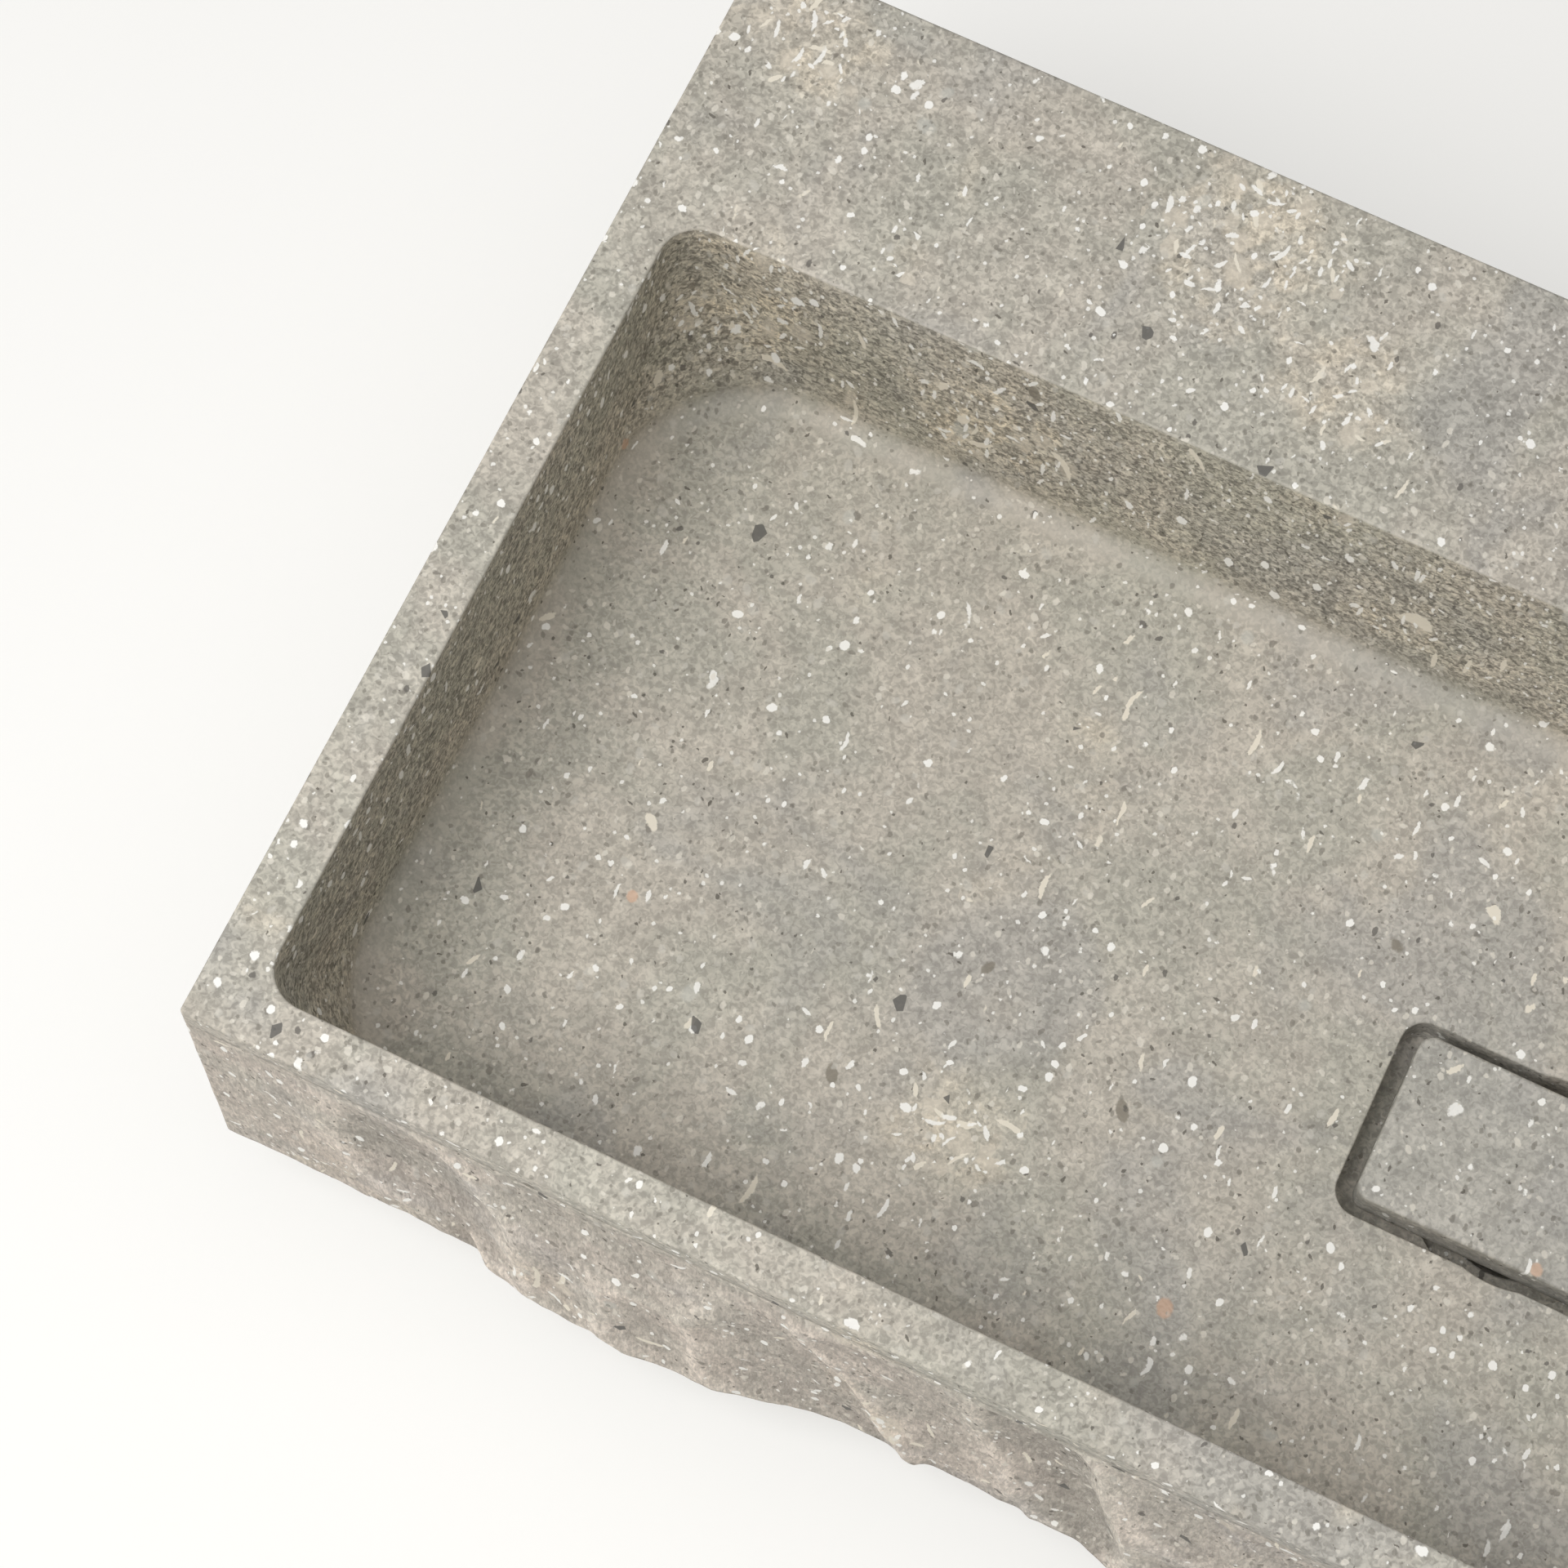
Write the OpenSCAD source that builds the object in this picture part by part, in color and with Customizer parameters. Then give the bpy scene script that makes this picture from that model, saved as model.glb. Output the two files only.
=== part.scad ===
// Wall-hung trough basin cut from one block of limestone, with a rock-split front
// and a loose stone cover over a sunk waste.
// X runs along the wall, Y towards it (the back face is Y = 0) and Z up.
// The origin is midway between the two wall bolts, on the back face.

/* [Block] */
// Length along the wall
block_l = 900; // [840:10:960]
// From the wall to the smooth front fascia
block_d = 460; // [450:1:470]
// Height of the block
block_h = 160; // [158:1:170]
// Small flat along the upper edges
edge_flat = 1.2; // [0.8:0.1:2]

/* [Basin] */
// Thickness of the two end walls at the rim
end_wall = 21; // [18:0.5:26]
// Thickness of the front wall at the rim
front_wall = 19; // [17:0.5:24]
// Width of the tap deck behind the basin
deck_w = 114; // [100:1:130]
// Depth from the rim to the drain
basin_depth = 114; // [104:1:118]
// Fall of the floor from its edge to the drain
floor_fall = 6; // [4:0.5:8]
// How far the walls lean in on their way down
wall_draft = 1.6; // [0.8:0.1:3]
// Corner radius at the rim
rim_corner_r = 15; // [10:1:24]
// Corner radius where the walls meet the floor
floor_corner_r = 60; // [40:1:70]
// Fillet between walls and floor
floor_fillet = 10; // [6:0.5:12]

/* [Drain] */
// Length of the recess for the cover
recess_l = 130; // [126:1:140]
// Width of the recess
recess_w = 80; // [78:1:82]
// Corner radius of the recess
recess_corner_r = 10; // [8:1:12]
// Depth of the ledge below the floor at the drain
recess_depth = 20; // [19:0.5:21]
// Radius of the round sump in the ledge
sump_r = 41.5; // [41.5:0.1:42]
// Depth of the sump below the ledge
sump_depth = 6; // [6:0.5:7]
// Bore through the stone for the waste
stone_bore_d = 48; // [45:0.5:50]
// Diameter of the seat ground into the underside round the bore
ground_seat_d = 72; // [70:1:80]
// Depth of that seat
ground_seat_depth = 1; // [0.5:0.5:2]

/* [Cover] */
// Length of the cover
cover_l = 116; // [112:0.5:118]
// Width of the cover
cover_w = 68; // [66:0.5:70]
// Thickness of the cover
cover_t = 16; // [14:0.5:17]
// Corner radius of the cover
cover_corner_r = 5.5; // [4:0.5:8]
// Height of the rubber feet under it
foot_h = 10; // [9.5:0.5:11]

/* [Rock-split front] */
// Height of the smooth fascia above the split face
fascia_h = 14; // [12:0.5:18]
// Depth of the sawn line under the fascia
saw_line_depth = 1.2; // [0.8:0.1:1.6]
// Most that the split face stands out from the fascia
split_bulge = 13; // [8:0.5:14]
// Width of one cell of the split face
split_cell_w = 7.5; // [7.5:0.5:15]
// Height of one cell of the split face
split_cell_h = 8; // [8:0.5:16]

/* [Waste] */
// Outside diameter of the G 1 1/4 barrel
barrel_d = 41.9; // [41.8:0.05:41.9]
// Bore of the barrel
barrel_bore_d = 36; // [34:0.5:37]
// Length of the waste below its flange
barrel_l = 70; // [64:1:80]
// Diameter of the flange
flange_d = 64; // [62:0.5:66]

/* [Wall bolts] */
// Distance between the two wall bolts
bolt_spacing = 600; // [500:10:700]
// Distance of the bolts below the top
bolt_drop = 60; // [50:1:70]
// Core diameter of the M12 thread in the sleeves
sleeve_bore_d = 10.1; // [10.1:0.1:10.3]
// Length of the sleeves
sleeve_l = 60; // [50:1:65]

/* [Hidden] */

STONE = [0.63, 0.61, 0.57];
COVER_STONE = [0.60, 0.61, 0.56];
RUBBER = [0.10, 0.10, 0.10];
STEEL = [0.72, 0.73, 0.74];
BRASS = [0.80, 0.66, 0.36];
NYLON = [0.86, 0.85, 0.80];

cut = 1;                      // how far cutting tools run past a face
fit = 0.05;                   // radial clearance of a turned fit
round_fn = 96;

top_z = bolt_drop;
bottom_z = top_z - block_h;
front_y = -block_d;
stock_y = front_y - split_bulge - cut;   // front of the block before it was split

basin_l = block_l - 2 * end_wall;
basin_w = block_d - front_wall - deck_w;
drain_y = -deck_w - basin_w / 2;
drain_z = top_z - basin_depth;
floor_edge_z = drain_z + floor_fall;
ledge_z = drain_z - recess_depth;
sump_z = ledge_z - sump_depth;
cover_z = ledge_z + foot_h;              // underside of the cover

seal_t = 1.5;
flange_t = 3;
flange_lip = 0.8;
seat_depth = 1.5;                        // the strainer lies flush in the flange
seat_d = 52.6;
flange_z = sump_z + seal_t;              // underside of the flange
barrel_end_z = flange_z - barrel_l;
gasket_t = 4;
washer_t = 1.5;
nut_h = 10;
nut_across_flats = 52;
seat_z = bottom_z + ground_seat_depth;   // the gasket's seat in the underside
nut_z = seat_z - gasket_t - washer_t - nut_h;
bridge_w = 7;
bridge_h = 6;
bridge_drop = 10;                        // from the strainer's seat to the bridge
screw_d = 6;

// ---------- helpers ----------

function wave(turns) = sin(360 * turns);
function clamp01(t) = min(1, max(0, t));
function smooth01(t) = let (c = clamp01(t)) c * c * (3 - 2 * c);
function mix(a, b, t) = a + (b - a) * t;

// Minimum of two heights with a rounded valley of width k
function soft_min(a, b, k) = min(a, b) - pow(max(0, k - abs(a - b)) / k, 2) * k / 4;
function soft_min_all(list, k, i = 0, best = 1000) =
    i == len(list) ? best : soft_min_all(list, k, i + 1, soft_min(best, list[i], k));

// Rounded rectangle as an exact outline: two bars and four discs
module rounded_rect(l, w, r) {
    square([l, w - 2 * r], center = true);
    square([l - 2 * r, w], center = true);
    for (sx = [-1, 1], sy = [-1, 1])
        translate([sx * (l / 2 - r), sy * (w / 2 - r)])
            circle(r = r, $fn = 64);
}

module at_drain(z) {
    translate([0, drain_y, z])
        children();
}

// ---------- the split face ----------
// Stone splits off a block in shells, each leaving a shallow dish, and where two dishes
// meet there is a sharp crest. A scoop is one dish:
// [distance from the left end, distance below the top, how far its middle stands out,
//  radius to its left, radius to its right, radius up and down, lean]
SCOOPS = [
    [80, 76, -3.6, 130, 130, 560, -0.08],
    [150, 10, -1.2, 1600, 1600, 415, 0],
    [134, 76, 4.4, 190, 190, 720, 0.06],
    [184, 84, 5.4, 150, 170, 680, -0.16],
    [158, 176, 8.2, 26, 26, 90, 0],
    [256, 104, -1.4, 215, 16, 1400, -0.34],
    [296, 78, -2.8, 400, 300, 760, -0.2],
    [281, 178, 1.2, 24, 40, 90, 0.2],
    [336, 74, -5.2, 150, 40, 560, -0.16],
    [400, 16, -1, 1500, 1500, 430, 0],
    [384, 96, 5, 240, 200, 560, 0.2],
    [446, 88, -2, 60, 230, 700, 0.34],
    [520, 14, -1.2, 1300, 1300, 415, 0],
    [498, 92, 5, 180, 180, 700, -0.15],
    [546, 98, 6.2, 160, 160, 600, 0.12],
    [616, 100, -1.6, 230, 20, 1000, -0.3],
    [668, 70, -4.2, 240, 200, 620, -0.15],
    [742, 14, -1, 1500, 1500, 420, 0],
    [716, 86, 4.6, 160, 160, 640, 0.12],
    [764, 92, 6, 180, 180, 640, -0.2],
    [822, 80, -3.4, 150, 150, 560, 0.12]
];
SCOOP_SPAN = 900;                // the scoops are laid out along this length
crest_width = 0.6;
flat_end = 36;                   // the split face dies out this far from each end
flat_end_run = 34;
left_flank = 104;                // where the first and the last lobes begin
right_flank = 96;
flank_lean = [0.19, 0.14];
flank_r = 6;
foot_x = 311;                    // a stretch whose foot wasn't split off
foot_half = 17;
foot_r = 7;

// Height of one scoop at u along the front and v below the top
function scoop_out(s, u, v) =
    let (dv = s[1] - v, du = u - s[0] - s[6] * dv)
    s[2] + du * du / (2 * (du < 0 ? s[3] : s[4])) + dv * dv / (2 * s[5]);

// Distance that the split face stands out at x along the front and v below the top
function split_out(x, v) =
    let (
        u = x * SCOOP_SPAN / block_l,
        su = u + 2 * wave(u / 383 - v / 107) - wave(v / 46 + u / 270),
        sv = v - 2.6 * wave(u / 119 + 0.175) - 1.3 * wave(u / 51 - v / 195),
        scoops = [for (s = SCOOPS) scoop_out(s, su, sv)],
        left = pow(max(0, su - left_flank + flank_lean[0] * (block_h - v)), 2) / (2 * flank_r),
        right = pow(max(0, SCOOP_SPAN - right_flank + flank_lean[1] * (block_h - v) - su), 2)
            / (2 * flank_r),
        foot = pow(max(0, abs(u - foot_x) - foot_half), 2) / (2 * foot_r) + 0.02 * (block_h - v),
        out = soft_min_all(concat([split_bulge, left, right, foot], scoops), crest_width),
        ends = smooth01((u - flat_end) / flat_end_run)
            * smooth01((SCOOP_SPAN - flat_end - u) / flat_end_run)
    )
    out < 0 ? out * ends : out;

// The air in front of the split face, as a closed body. Its rows start above the sawn line,
// which is a row of its own, and end below the block.
module split_air() {
    columns = ceil((block_l + 2 * cut) / split_cell_w);
    rows = ceil((block_h - fascia_h) / split_cell_h);
    saw_w = 1.6;                                   // width of the sawn line
    split_top = fascia_h + saw_w + 0.8;
    fade_in = 12;                                  // the split deepens over this height
    xs = [for (i = [0 : columns]) mix(-cut, block_l + cut, i / columns)];
    // distances below the top: in the air, the bottom of the sawn line, then the split face
    downs = concat([fascia_h - saw_w / 2, fascia_h + saw_w / 2],
        [for (i = [0 : rows]) mix(split_top, block_h + 2 * cut, i / rows)]);
    count = len(downs);                            // points in a column
    outs = [for (x = xs) [for (j = [0 : count - 1])
        j == 0 ? saw_line_depth
        : j == 1 ? -saw_line_depth
        : split_out(min(block_l, max(0, x)), min(block_h, downs[j]))
            * clamp01((downs[j] - split_top) / fade_in)]];
    face = [for (i = [0 : columns], j = [0 : count - 1])
        [xs[i] - block_l / 2, front_y - outs[i][j], top_z - downs[j]]];
    front = stock_y - cut;
    corners = [for (i = [0, columns], j = [0, count - 1])
        [xs[i] - block_l / 2, front, top_z - downs[j]]];
    first = len(face);
    function at(i, j) = i * count + j;
    // each cell is cut along the diagonal that bends less, so that edges follow the crests
    cells = [for (i = [0 : columns - 1], j = [0 : count - 2])
        let (a = at(i, j), b = at(i + 1, j), c = at(i + 1, j + 1), d = at(i, j + 1))
        each abs(outs[i][j] - outs[i + 1][j + 1]) < abs(outs[i + 1][j] - outs[i][j + 1])
            ? [[a, c, b], [a, d, c]] : [[a, d, b], [b, d, c]]];
    left = concat([first], [for (j = [0 : count - 1]) at(0, j)], [first + 1]);
    right = concat([first + 3], [for (j = [count - 1 : -1 : 0]) at(columns, j)], [first + 2]);
    upper = concat([first + 2], [for (i = [columns : -1 : 0]) at(i, 0)], [first]);
    lower = concat([first + 1], [for (i = [0 : columns]) at(i, count - 1)], [first + 3]);
    polyhedron(concat(face, corners),
        concat(cells, [left, right, upper, lower, [first, first + 1, first + 3, first + 2]]));
}

// ---------- the basin ----------

// One level of the hollow: a rounded rectangle, turning anticlockwise
corner_steps = 8;
function level_points(l, w, r, z) =
    [for (q = [0 : 3], i = [0 : corner_steps])
        let (
            a = 90 * q + 90 * i / corner_steps,
            cx = (l / 2 - r) * (q == 0 || q == 3 ? 1 : -1),
            cy = (w / 2 - r) * (q < 2 ? 1 : -1)
        )
        [cx + r * cos(a), drain_y + cy + r * sin(a), z]];

// Share of the floor's fall at t on the way from its edge to the drain
function fall_share(t) = (smooth01(0.25 + t / 2) - smooth01(0.25)) / (smooth01(0.75) - smooth01(0.25));

// The hollow: bevelled rim, leaning walls whose corners open out, a fillet and a dished floor
module basin_hollow() {
    wall_steps = 3;
    fillet_steps = 5;
    floor_steps = 5;
    past_edge = 3;                           // the floor runs on past the recess's edge
    foot_z = floor_edge_z + floor_fillet;
    foot_l = basin_l - 2 * wall_draft - 2 * floor_fillet;
    foot_w = basin_w - 2 * wall_draft - 2 * floor_fillet;
    rim = [for (s = [1, -1])
        level_points(basin_l + (s > 0 ? 4 : 0), basin_w + (s > 0 ? 4 : 0),
            rim_corner_r + (s > 0 ? 2 : 0), top_z + s)];
    wall = [for (i = [1 : wall_steps])
        let (t = i / wall_steps)
        level_points(basin_l - 2 * wall_draft * t, basin_w - 2 * wall_draft * t,
            mix(rim_corner_r, floor_corner_r, t * t), mix(top_z - 1, foot_z, t))];
    fillet = [for (i = [1 : fillet_steps])
        let (a = 90 * i / fillet_steps, inset = wall_draft + floor_fillet * (1 - cos(a)))
        level_points(basin_l - 2 * inset, basin_w - 2 * inset,
            floor_corner_r - floor_fillet * (1 - cos(a)), foot_z - floor_fillet * sin(a))];
    floor = [for (i = [1 : floor_steps])
        let (t = i / floor_steps)
        level_points(mix(foot_l, recess_l - 2 * past_edge, t), mix(foot_w, recess_w - 2 * past_edge, t),
            mix(floor_corner_r - floor_fillet, recess_corner_r - past_edge, t),
            mix(floor_edge_z, drain_z, fall_share(t)))];
    levels = concat(rim, wall, fillet, floor);
    n = 4 * (corner_steps + 1);
    sides = [for (k = [0 : len(levels) - 2], i = [0 : n - 1])
        let (a = k * n + i, b = k * n + (i + 1) % n)
        each [[a, b, b + n], [a, b + n, a + n]]];
    lid = [for (i = [n - 1 : -1 : 0]) i];
    bottom = [for (i = [0 : n - 1]) (len(levels) - 1) * n + i];
    polyhedron([for (level = levels) each level], concat([lid, bottom], sides));
}

// The sawn block, still with the stone in front that is split off
module sawn_block() {
    e = edge_flat;
    rough_top = top_z - fascia_h - 0.4;      // a little below the fascia, within the sawn line
    from_side = [[stock_y, bottom_z], [0, bottom_z], [0, top_z - e], [-e, top_z],
        [front_y + e, top_z], [front_y, top_z - e], [front_y, rough_top], [stock_y, rough_top]];
    half = block_l / 2;
    from_front = [[-half, bottom_z], [half, bottom_z], [half, top_z - e], [half - e, top_z],
        [e - half, top_z], [-half, top_z - e]];
    intersection() {
        rotate([90, 0, 90])
            linear_extrude(block_l + 2 * cut, center = true)
                polygon(from_side);
        translate([0, cut, 0])
            rotate([90, 0, 0])
                linear_extrude(cut - stock_y + cut)
                    polygon(from_front);
    }
}

module stone_basin() {
    sleeve_hole_r = 9 + fit;
    color(STONE)
        difference() {
            sawn_block();
            split_air();
            basin_hollow();
            // recess for the cover
            at_drain(ledge_z)
                linear_extrude(recess_depth + floor_fall + cut)
                    rounded_rect(recess_l, recess_w, recess_corner_r);
            // round sump, cored from above: it nicks both long walls of the recess
            at_drain(sump_z)
                cylinder(r = sump_r, h = sump_depth + recess_depth + floor_fall + cut, $fn = round_fn);
            at_drain(bottom_z - cut) {
                cylinder(d = stone_bore_d, h = block_h, $fn = round_fn);
                cylinder(d = ground_seat_d, h = cut + ground_seat_depth, $fn = round_fn);
            }
            // blind holes for the wall sleeves
            for (side = [-1, 1])
                translate([side * bolt_spacing / 2, cut, 0])
                    rotate([90, 0, 0])
                        cylinder(r = sleeve_hole_r, h = sleeve_l + 6 + cut, $fn = round_fn);
        }
}

// ---------- the cover ----------

foot_x_pos = 50;
foot_y_pos = 25;
foot_stem_d = 5;
foot_stem_l = 6;

module at_feet() {
    for (sx = [-1, 1], sy = [-1, 1])
        translate([sx * foot_x_pos, drain_y + sy * foot_y_pos, 0])
            children();
}

module drain_cover() {
    ease = 1;
    r = cover_corner_r;
    color(COVER_STONE)
        difference() {
            at_drain(cover_z)
                hull()
                    for (sx = [-1, 1], sy = [-1, 1])
                        translate([sx * (cover_l / 2 - r), sy * (cover_w / 2 - r), 0])
                            rotate_extrude($fn = 32)
                                polygon([[0, 0], [r - ease / 2, 0], [r, ease / 2],
                                    [r, cover_t - ease], [r - ease, cover_t], [0, cover_t]]);
            at_feet()
                translate([0, 0, cover_z - cut])
                    cylinder(d = foot_stem_d, h = foot_stem_l + 0.5 + cut, $fn = 32);
        }
}

// Tapered foot with a stem that is pressed into the stone
module cover_feet() {
    foot_r = 6;
    stem_r = foot_stem_d / 2 - fit;
    color(RUBBER)
        at_feet()
            translate([0, 0, ledge_z])
                rotate_extrude($fn = 48)
                    polygon([[0, 0], [foot_r - 1.5, 0], [foot_r - 1, 0.5], [foot_r, foot_h - 1],
                        [foot_r, foot_h], [stem_r, foot_h], [stem_r, foot_h + foot_stem_l - 0.5],
                        [stem_r - 0.5, foot_h + foot_stem_l], [0, foot_h + foot_stem_l]]);
}

// ---------- the waste ----------

strainer_t = 1.5;
strainer_z = flange_z + flange_t - seat_depth;
bridge_z = strainer_z - bridge_drop;

module strainer_plate() {
    hole_d = 4.5;
    color(STEEL)
        at_drain(strainer_z)
            difference() {
                cylinder(d = seat_d - 0.6, h = strainer_t, $fn = round_fn);
                translate([0, 0, -cut])
                    cylinder(d = screw_d + 0.4, h = strainer_t + 2 * cut, $fn = 32);
                for (ring = [[8, 6], [14.5, 12]], i = [0 : ring[1] - 1])
                    rotate(360 * i / ring[1])
                        translate([ring[0], 0, -cut])
                            cylinder(d = hole_d, h = strainer_t + 2 * cut, $fn = 24);
            }
}

// Raised head with a slot, and a shank that reaches through the bridge
module strainer_screw() {
    head_r = 5;
    head_h = 2.2;
    shank_l = strainer_z + strainer_t - bridge_z + bridge_h + 1;
    color(STEEL)
        at_drain(strainer_z + strainer_t)
            difference() {
                rotate_extrude($fn = 48)
                    polygon([[0, -shank_l], [screw_d / 2 - 0.6, -shank_l], [screw_d / 2, 0.6 - shank_l],
                        [screw_d / 2, 0], [head_r, 0], [head_r, 0.7], [head_r - 1.2, head_h - 0.4],
                        [head_r - 2.6, head_h], [0, head_h]]);
                translate([-head_r, -0.6, head_h - 1])
                    cube([2 * head_r, 1.2, 2]);
            }
}

// Flange with a seat for the strainer, plain barrel, and the bridge that takes the screw
module waste_body() {
    bore_r = barrel_bore_d / 2;
    thread_r = barrel_d / 2;
    groove = 0.5;                            // turned groove that ends the trap's thread
    groove_z = nut_z - 3;
    rim_r = flange_d / 2;
    flange_top = flange_z + flange_t;
    color(BRASS)
        difference() {
            at_drain(0) {
                rotate_extrude($fn = round_fn)
                    polygon([[bore_r, barrel_end_z], [thread_r - 1, barrel_end_z],
                        [thread_r, barrel_end_z + 1], [thread_r, groove_z],
                        [thread_r - groove, groove_z + groove],
                        [thread_r - groove, groove_z + 2 * groove],
                        [thread_r, groove_z + 3 * groove], [thread_r, flange_z],
                        [rim_r - flange_lip, flange_z], [rim_r, flange_z + flange_lip],
                        [rim_r, flange_top - flange_lip], [rim_r - flange_lip, flange_top],
                        [seat_d / 2, flange_top], [seat_d / 2, strainer_z], [bore_r, strainer_z]]);
                intersection() {
                    translate([-bore_r - 1, -bridge_w / 2, bridge_z - bridge_h])
                        cube([2 * bore_r + 2, bridge_w, bridge_h]);
                    translate([0, 0, bridge_z - bridge_h - cut])
                        cylinder(r = bore_r + 1, h = bridge_h + 2 * cut, $fn = round_fn);
                }
                translate([0, 0, bridge_z - bridge_h])
                    cylinder(d = 12, h = bridge_h, $fn = 48);
            }
            at_drain(bridge_z - bridge_h - cut)
                cylinder(d = screw_d + 2 * fit, h = bridge_h + 2 * cut, $fn = 48);
        }
}

module ring(outer_d, inner_d, h) {
    difference() {
        cylinder(d = outer_d, h = h, $fn = round_fn);
        translate([0, 0, -cut])
            cylinder(d = inner_d, h = h + 2 * cut, $fn = round_fn);
    }
}

module flange_seal() {
    color(RUBBER)
        at_drain(sump_z)
            ring(flange_d - 2, barrel_d + 0.6, seal_t);
}

// Rubber washer with a bevelled rim
module stone_gasket() {
    color(RUBBER)
        at_drain(seat_z - gasket_t)
            rotate_extrude($fn = round_fn)
                polygon([[barrel_d / 2 + 0.3, 0], [31, 0], [33, 2], [33, gasket_t],
                    [barrel_d / 2 + 0.3, gasket_t]]);
}

module slip_washer() {
    color(NYLON)
        at_drain(seat_z - gasket_t - washer_t)
            ring(62, barrel_d + 0.6, washer_t);
}

// Hexagon nut whose corners are turned off at both ends
module back_nut() {
    corner_r = nut_across_flats / 2 / cos(30);
    color(BRASS)
        at_drain(nut_z)
            difference() {
                intersection() {
                    cylinder(r = corner_r, h = nut_h, $fn = 6);
                    rotate_extrude($fn = round_fn)
                        polygon([[0, 0], [corner_r - 2, 0], [corner_r + 0.5, 1.6],
                            [corner_r + 0.5, nut_h - 1.6], [corner_r - 2, nut_h], [0, nut_h]]);
                }
                translate([0, 0, -cut])
                    cylinder(d = barrel_d + 2 * fit, h = nut_h + 2 * cut, $fn = round_fn);
            }
}

// Threaded sleeve, turned with two grooves that key it into the resin
module wall_sleeves() {
    r = 9;
    groove = 0.8;
    color(STEEL)
        for (side = [-1, 1])
            translate([side * bolt_spacing / 2, 0, 0])
                rotate([90, 0, 0])
                    rotate_extrude($fn = round_fn)
                        polygon([[sleeve_bore_d / 2, 0], [r, 0], [r, 14], [r - groove, 15],
                            [r - groove, 25], [r, 26], [r, 36], [r - groove, 37],
                            [r - groove, 47], [r, 48], [r, sleeve_l], [sleeve_bore_d / 2, sleeve_l]]);
}

stone_basin();
drain_cover();
cover_feet();
strainer_plate();
strainer_screw();
waste_body();
flange_seal();
stone_gasket();
slip_washer();
back_nut();
wall_sleeves();
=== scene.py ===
"""Looks of a wall-hung trough basin, cut from one block of fossil limestone.

Everything is in metres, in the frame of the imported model: X runs along the wall, Y into it and
Z up. The origin is midway between the two wall bolts, on the back face of the block.
"""
import math

import bmesh
import bpy
import numpy as np
from mathutils import Matrix, Vector, noise
from mathutils.geometry import delaunay_2d_cdt


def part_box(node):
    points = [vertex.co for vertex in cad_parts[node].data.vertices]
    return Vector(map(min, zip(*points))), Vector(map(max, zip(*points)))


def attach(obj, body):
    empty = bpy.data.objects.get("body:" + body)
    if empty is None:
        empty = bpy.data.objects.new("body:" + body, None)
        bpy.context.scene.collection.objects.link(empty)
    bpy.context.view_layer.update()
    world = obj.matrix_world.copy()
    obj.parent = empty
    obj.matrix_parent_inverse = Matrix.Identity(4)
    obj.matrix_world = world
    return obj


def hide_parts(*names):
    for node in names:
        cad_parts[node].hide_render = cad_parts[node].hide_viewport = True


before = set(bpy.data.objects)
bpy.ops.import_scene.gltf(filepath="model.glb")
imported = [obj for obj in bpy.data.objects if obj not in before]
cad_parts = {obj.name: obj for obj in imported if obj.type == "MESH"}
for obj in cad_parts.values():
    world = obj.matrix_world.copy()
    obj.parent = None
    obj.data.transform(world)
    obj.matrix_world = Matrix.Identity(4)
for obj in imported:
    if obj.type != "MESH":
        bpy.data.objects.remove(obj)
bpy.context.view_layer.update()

MM = 0.001
TAU = 2 * math.pi

# ---------- sizes, in metres ----------

block_low, block_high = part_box("stone_basin")
cover_low, cover_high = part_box("drain_cover")
sump_seal_low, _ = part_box("flange_seal")
waste_low, waste_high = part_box("waste_body")
foot_low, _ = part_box("cover_feet")
strainer_low, strainer_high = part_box("strainer_plate")
screw_low, screw_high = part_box("strainer_screw")
nut_low, nut_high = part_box("back_nut")
sleeve_low, sleeve_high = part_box("wall_sleeves")

HALF_L = block_high.x
TOP = block_high.z
BOTTOM = block_low.z
FRONT = -0.460                       # the smooth fascia
DRAIN_Y = (waste_low.y + waste_high.y) / 2
BULGE = FRONT - block_low.y          # most that the split face stands out

EASE = 1.2 * MM                      # rounding of the upper edges
RIM_EASE = 1.0 * MM
RECESS_EASE = 0.9 * MM
CORNER_R = 1.7 * MM                  # rounding of the upright corners

BASIN_HALF_L = HALF_L - 0.021
BASIN_HALF_W = 0.1635
RIM_R = 0.015                        # the hollow's corners at the rim and at the floor
FLOOR_R = 0.060
FILLET = 0.010
DRAFT = 0.0016
DRAIN_TOP = TOP - 0.114              # the floor where it meets the recess
FLOOR_FALL = 0.006
LEDGE = foot_low.z
SUMP = sump_seal_low.z
SUMP_R = 0.0415
BORE_R = 0.024
SEAT_R = 0.036                       # ground seat round the bore's lower end
SEAT_DEPTH = 0.001
RECESS_HALF_L = 0.065
RECESS_HALF_W = 0.040
RECESS_R = 0.010

COVER_R = 5.5 * MM
COVER_EASE = 1.5 * MM
COVER_FOOT_X, COVER_FOOT_Y = 0.050, 0.025
COVER_HOLE_R = 2.5 * MM              # the feet are pressed into four blind holes
COVER_HOLE_DEPTH = 6.5 * MM

FASCIA_H = 0.014
SAW_LINE_DEPTH = 1.9 * MM
SAW_LINE_W = 2.0 * MM

SLEEVE_R = 0.009
SLEEVE_X = sleeve_high.x - SLEEVE_R
SLEEVE_HOLE_R = 9.05 * MM
SLEEVE_HOLE_DEPTH = 0.066


# ---------- small helpers ----------

def mix(a, b, t):
    return a + (b - a) * t


def smooth01(t):
    t = np.clip(t, 0, 1)
    return t * t * (3 - 2 * t)


def wave(cycles):
    return np.sin(TAU * cycles)


def rough_line(places, step, seed):
    """Smooth noise from -1 to 1 at places along a line, with bumps about one step long."""
    return np.array([noise.noise(Vector((s / step, seed * 7.31, 0.37))) for s in places])


def turns(count):
    """Angles of so many points, spread evenly round a circle."""
    return np.linspace(0, TAU, count, endpoint=False)


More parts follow.
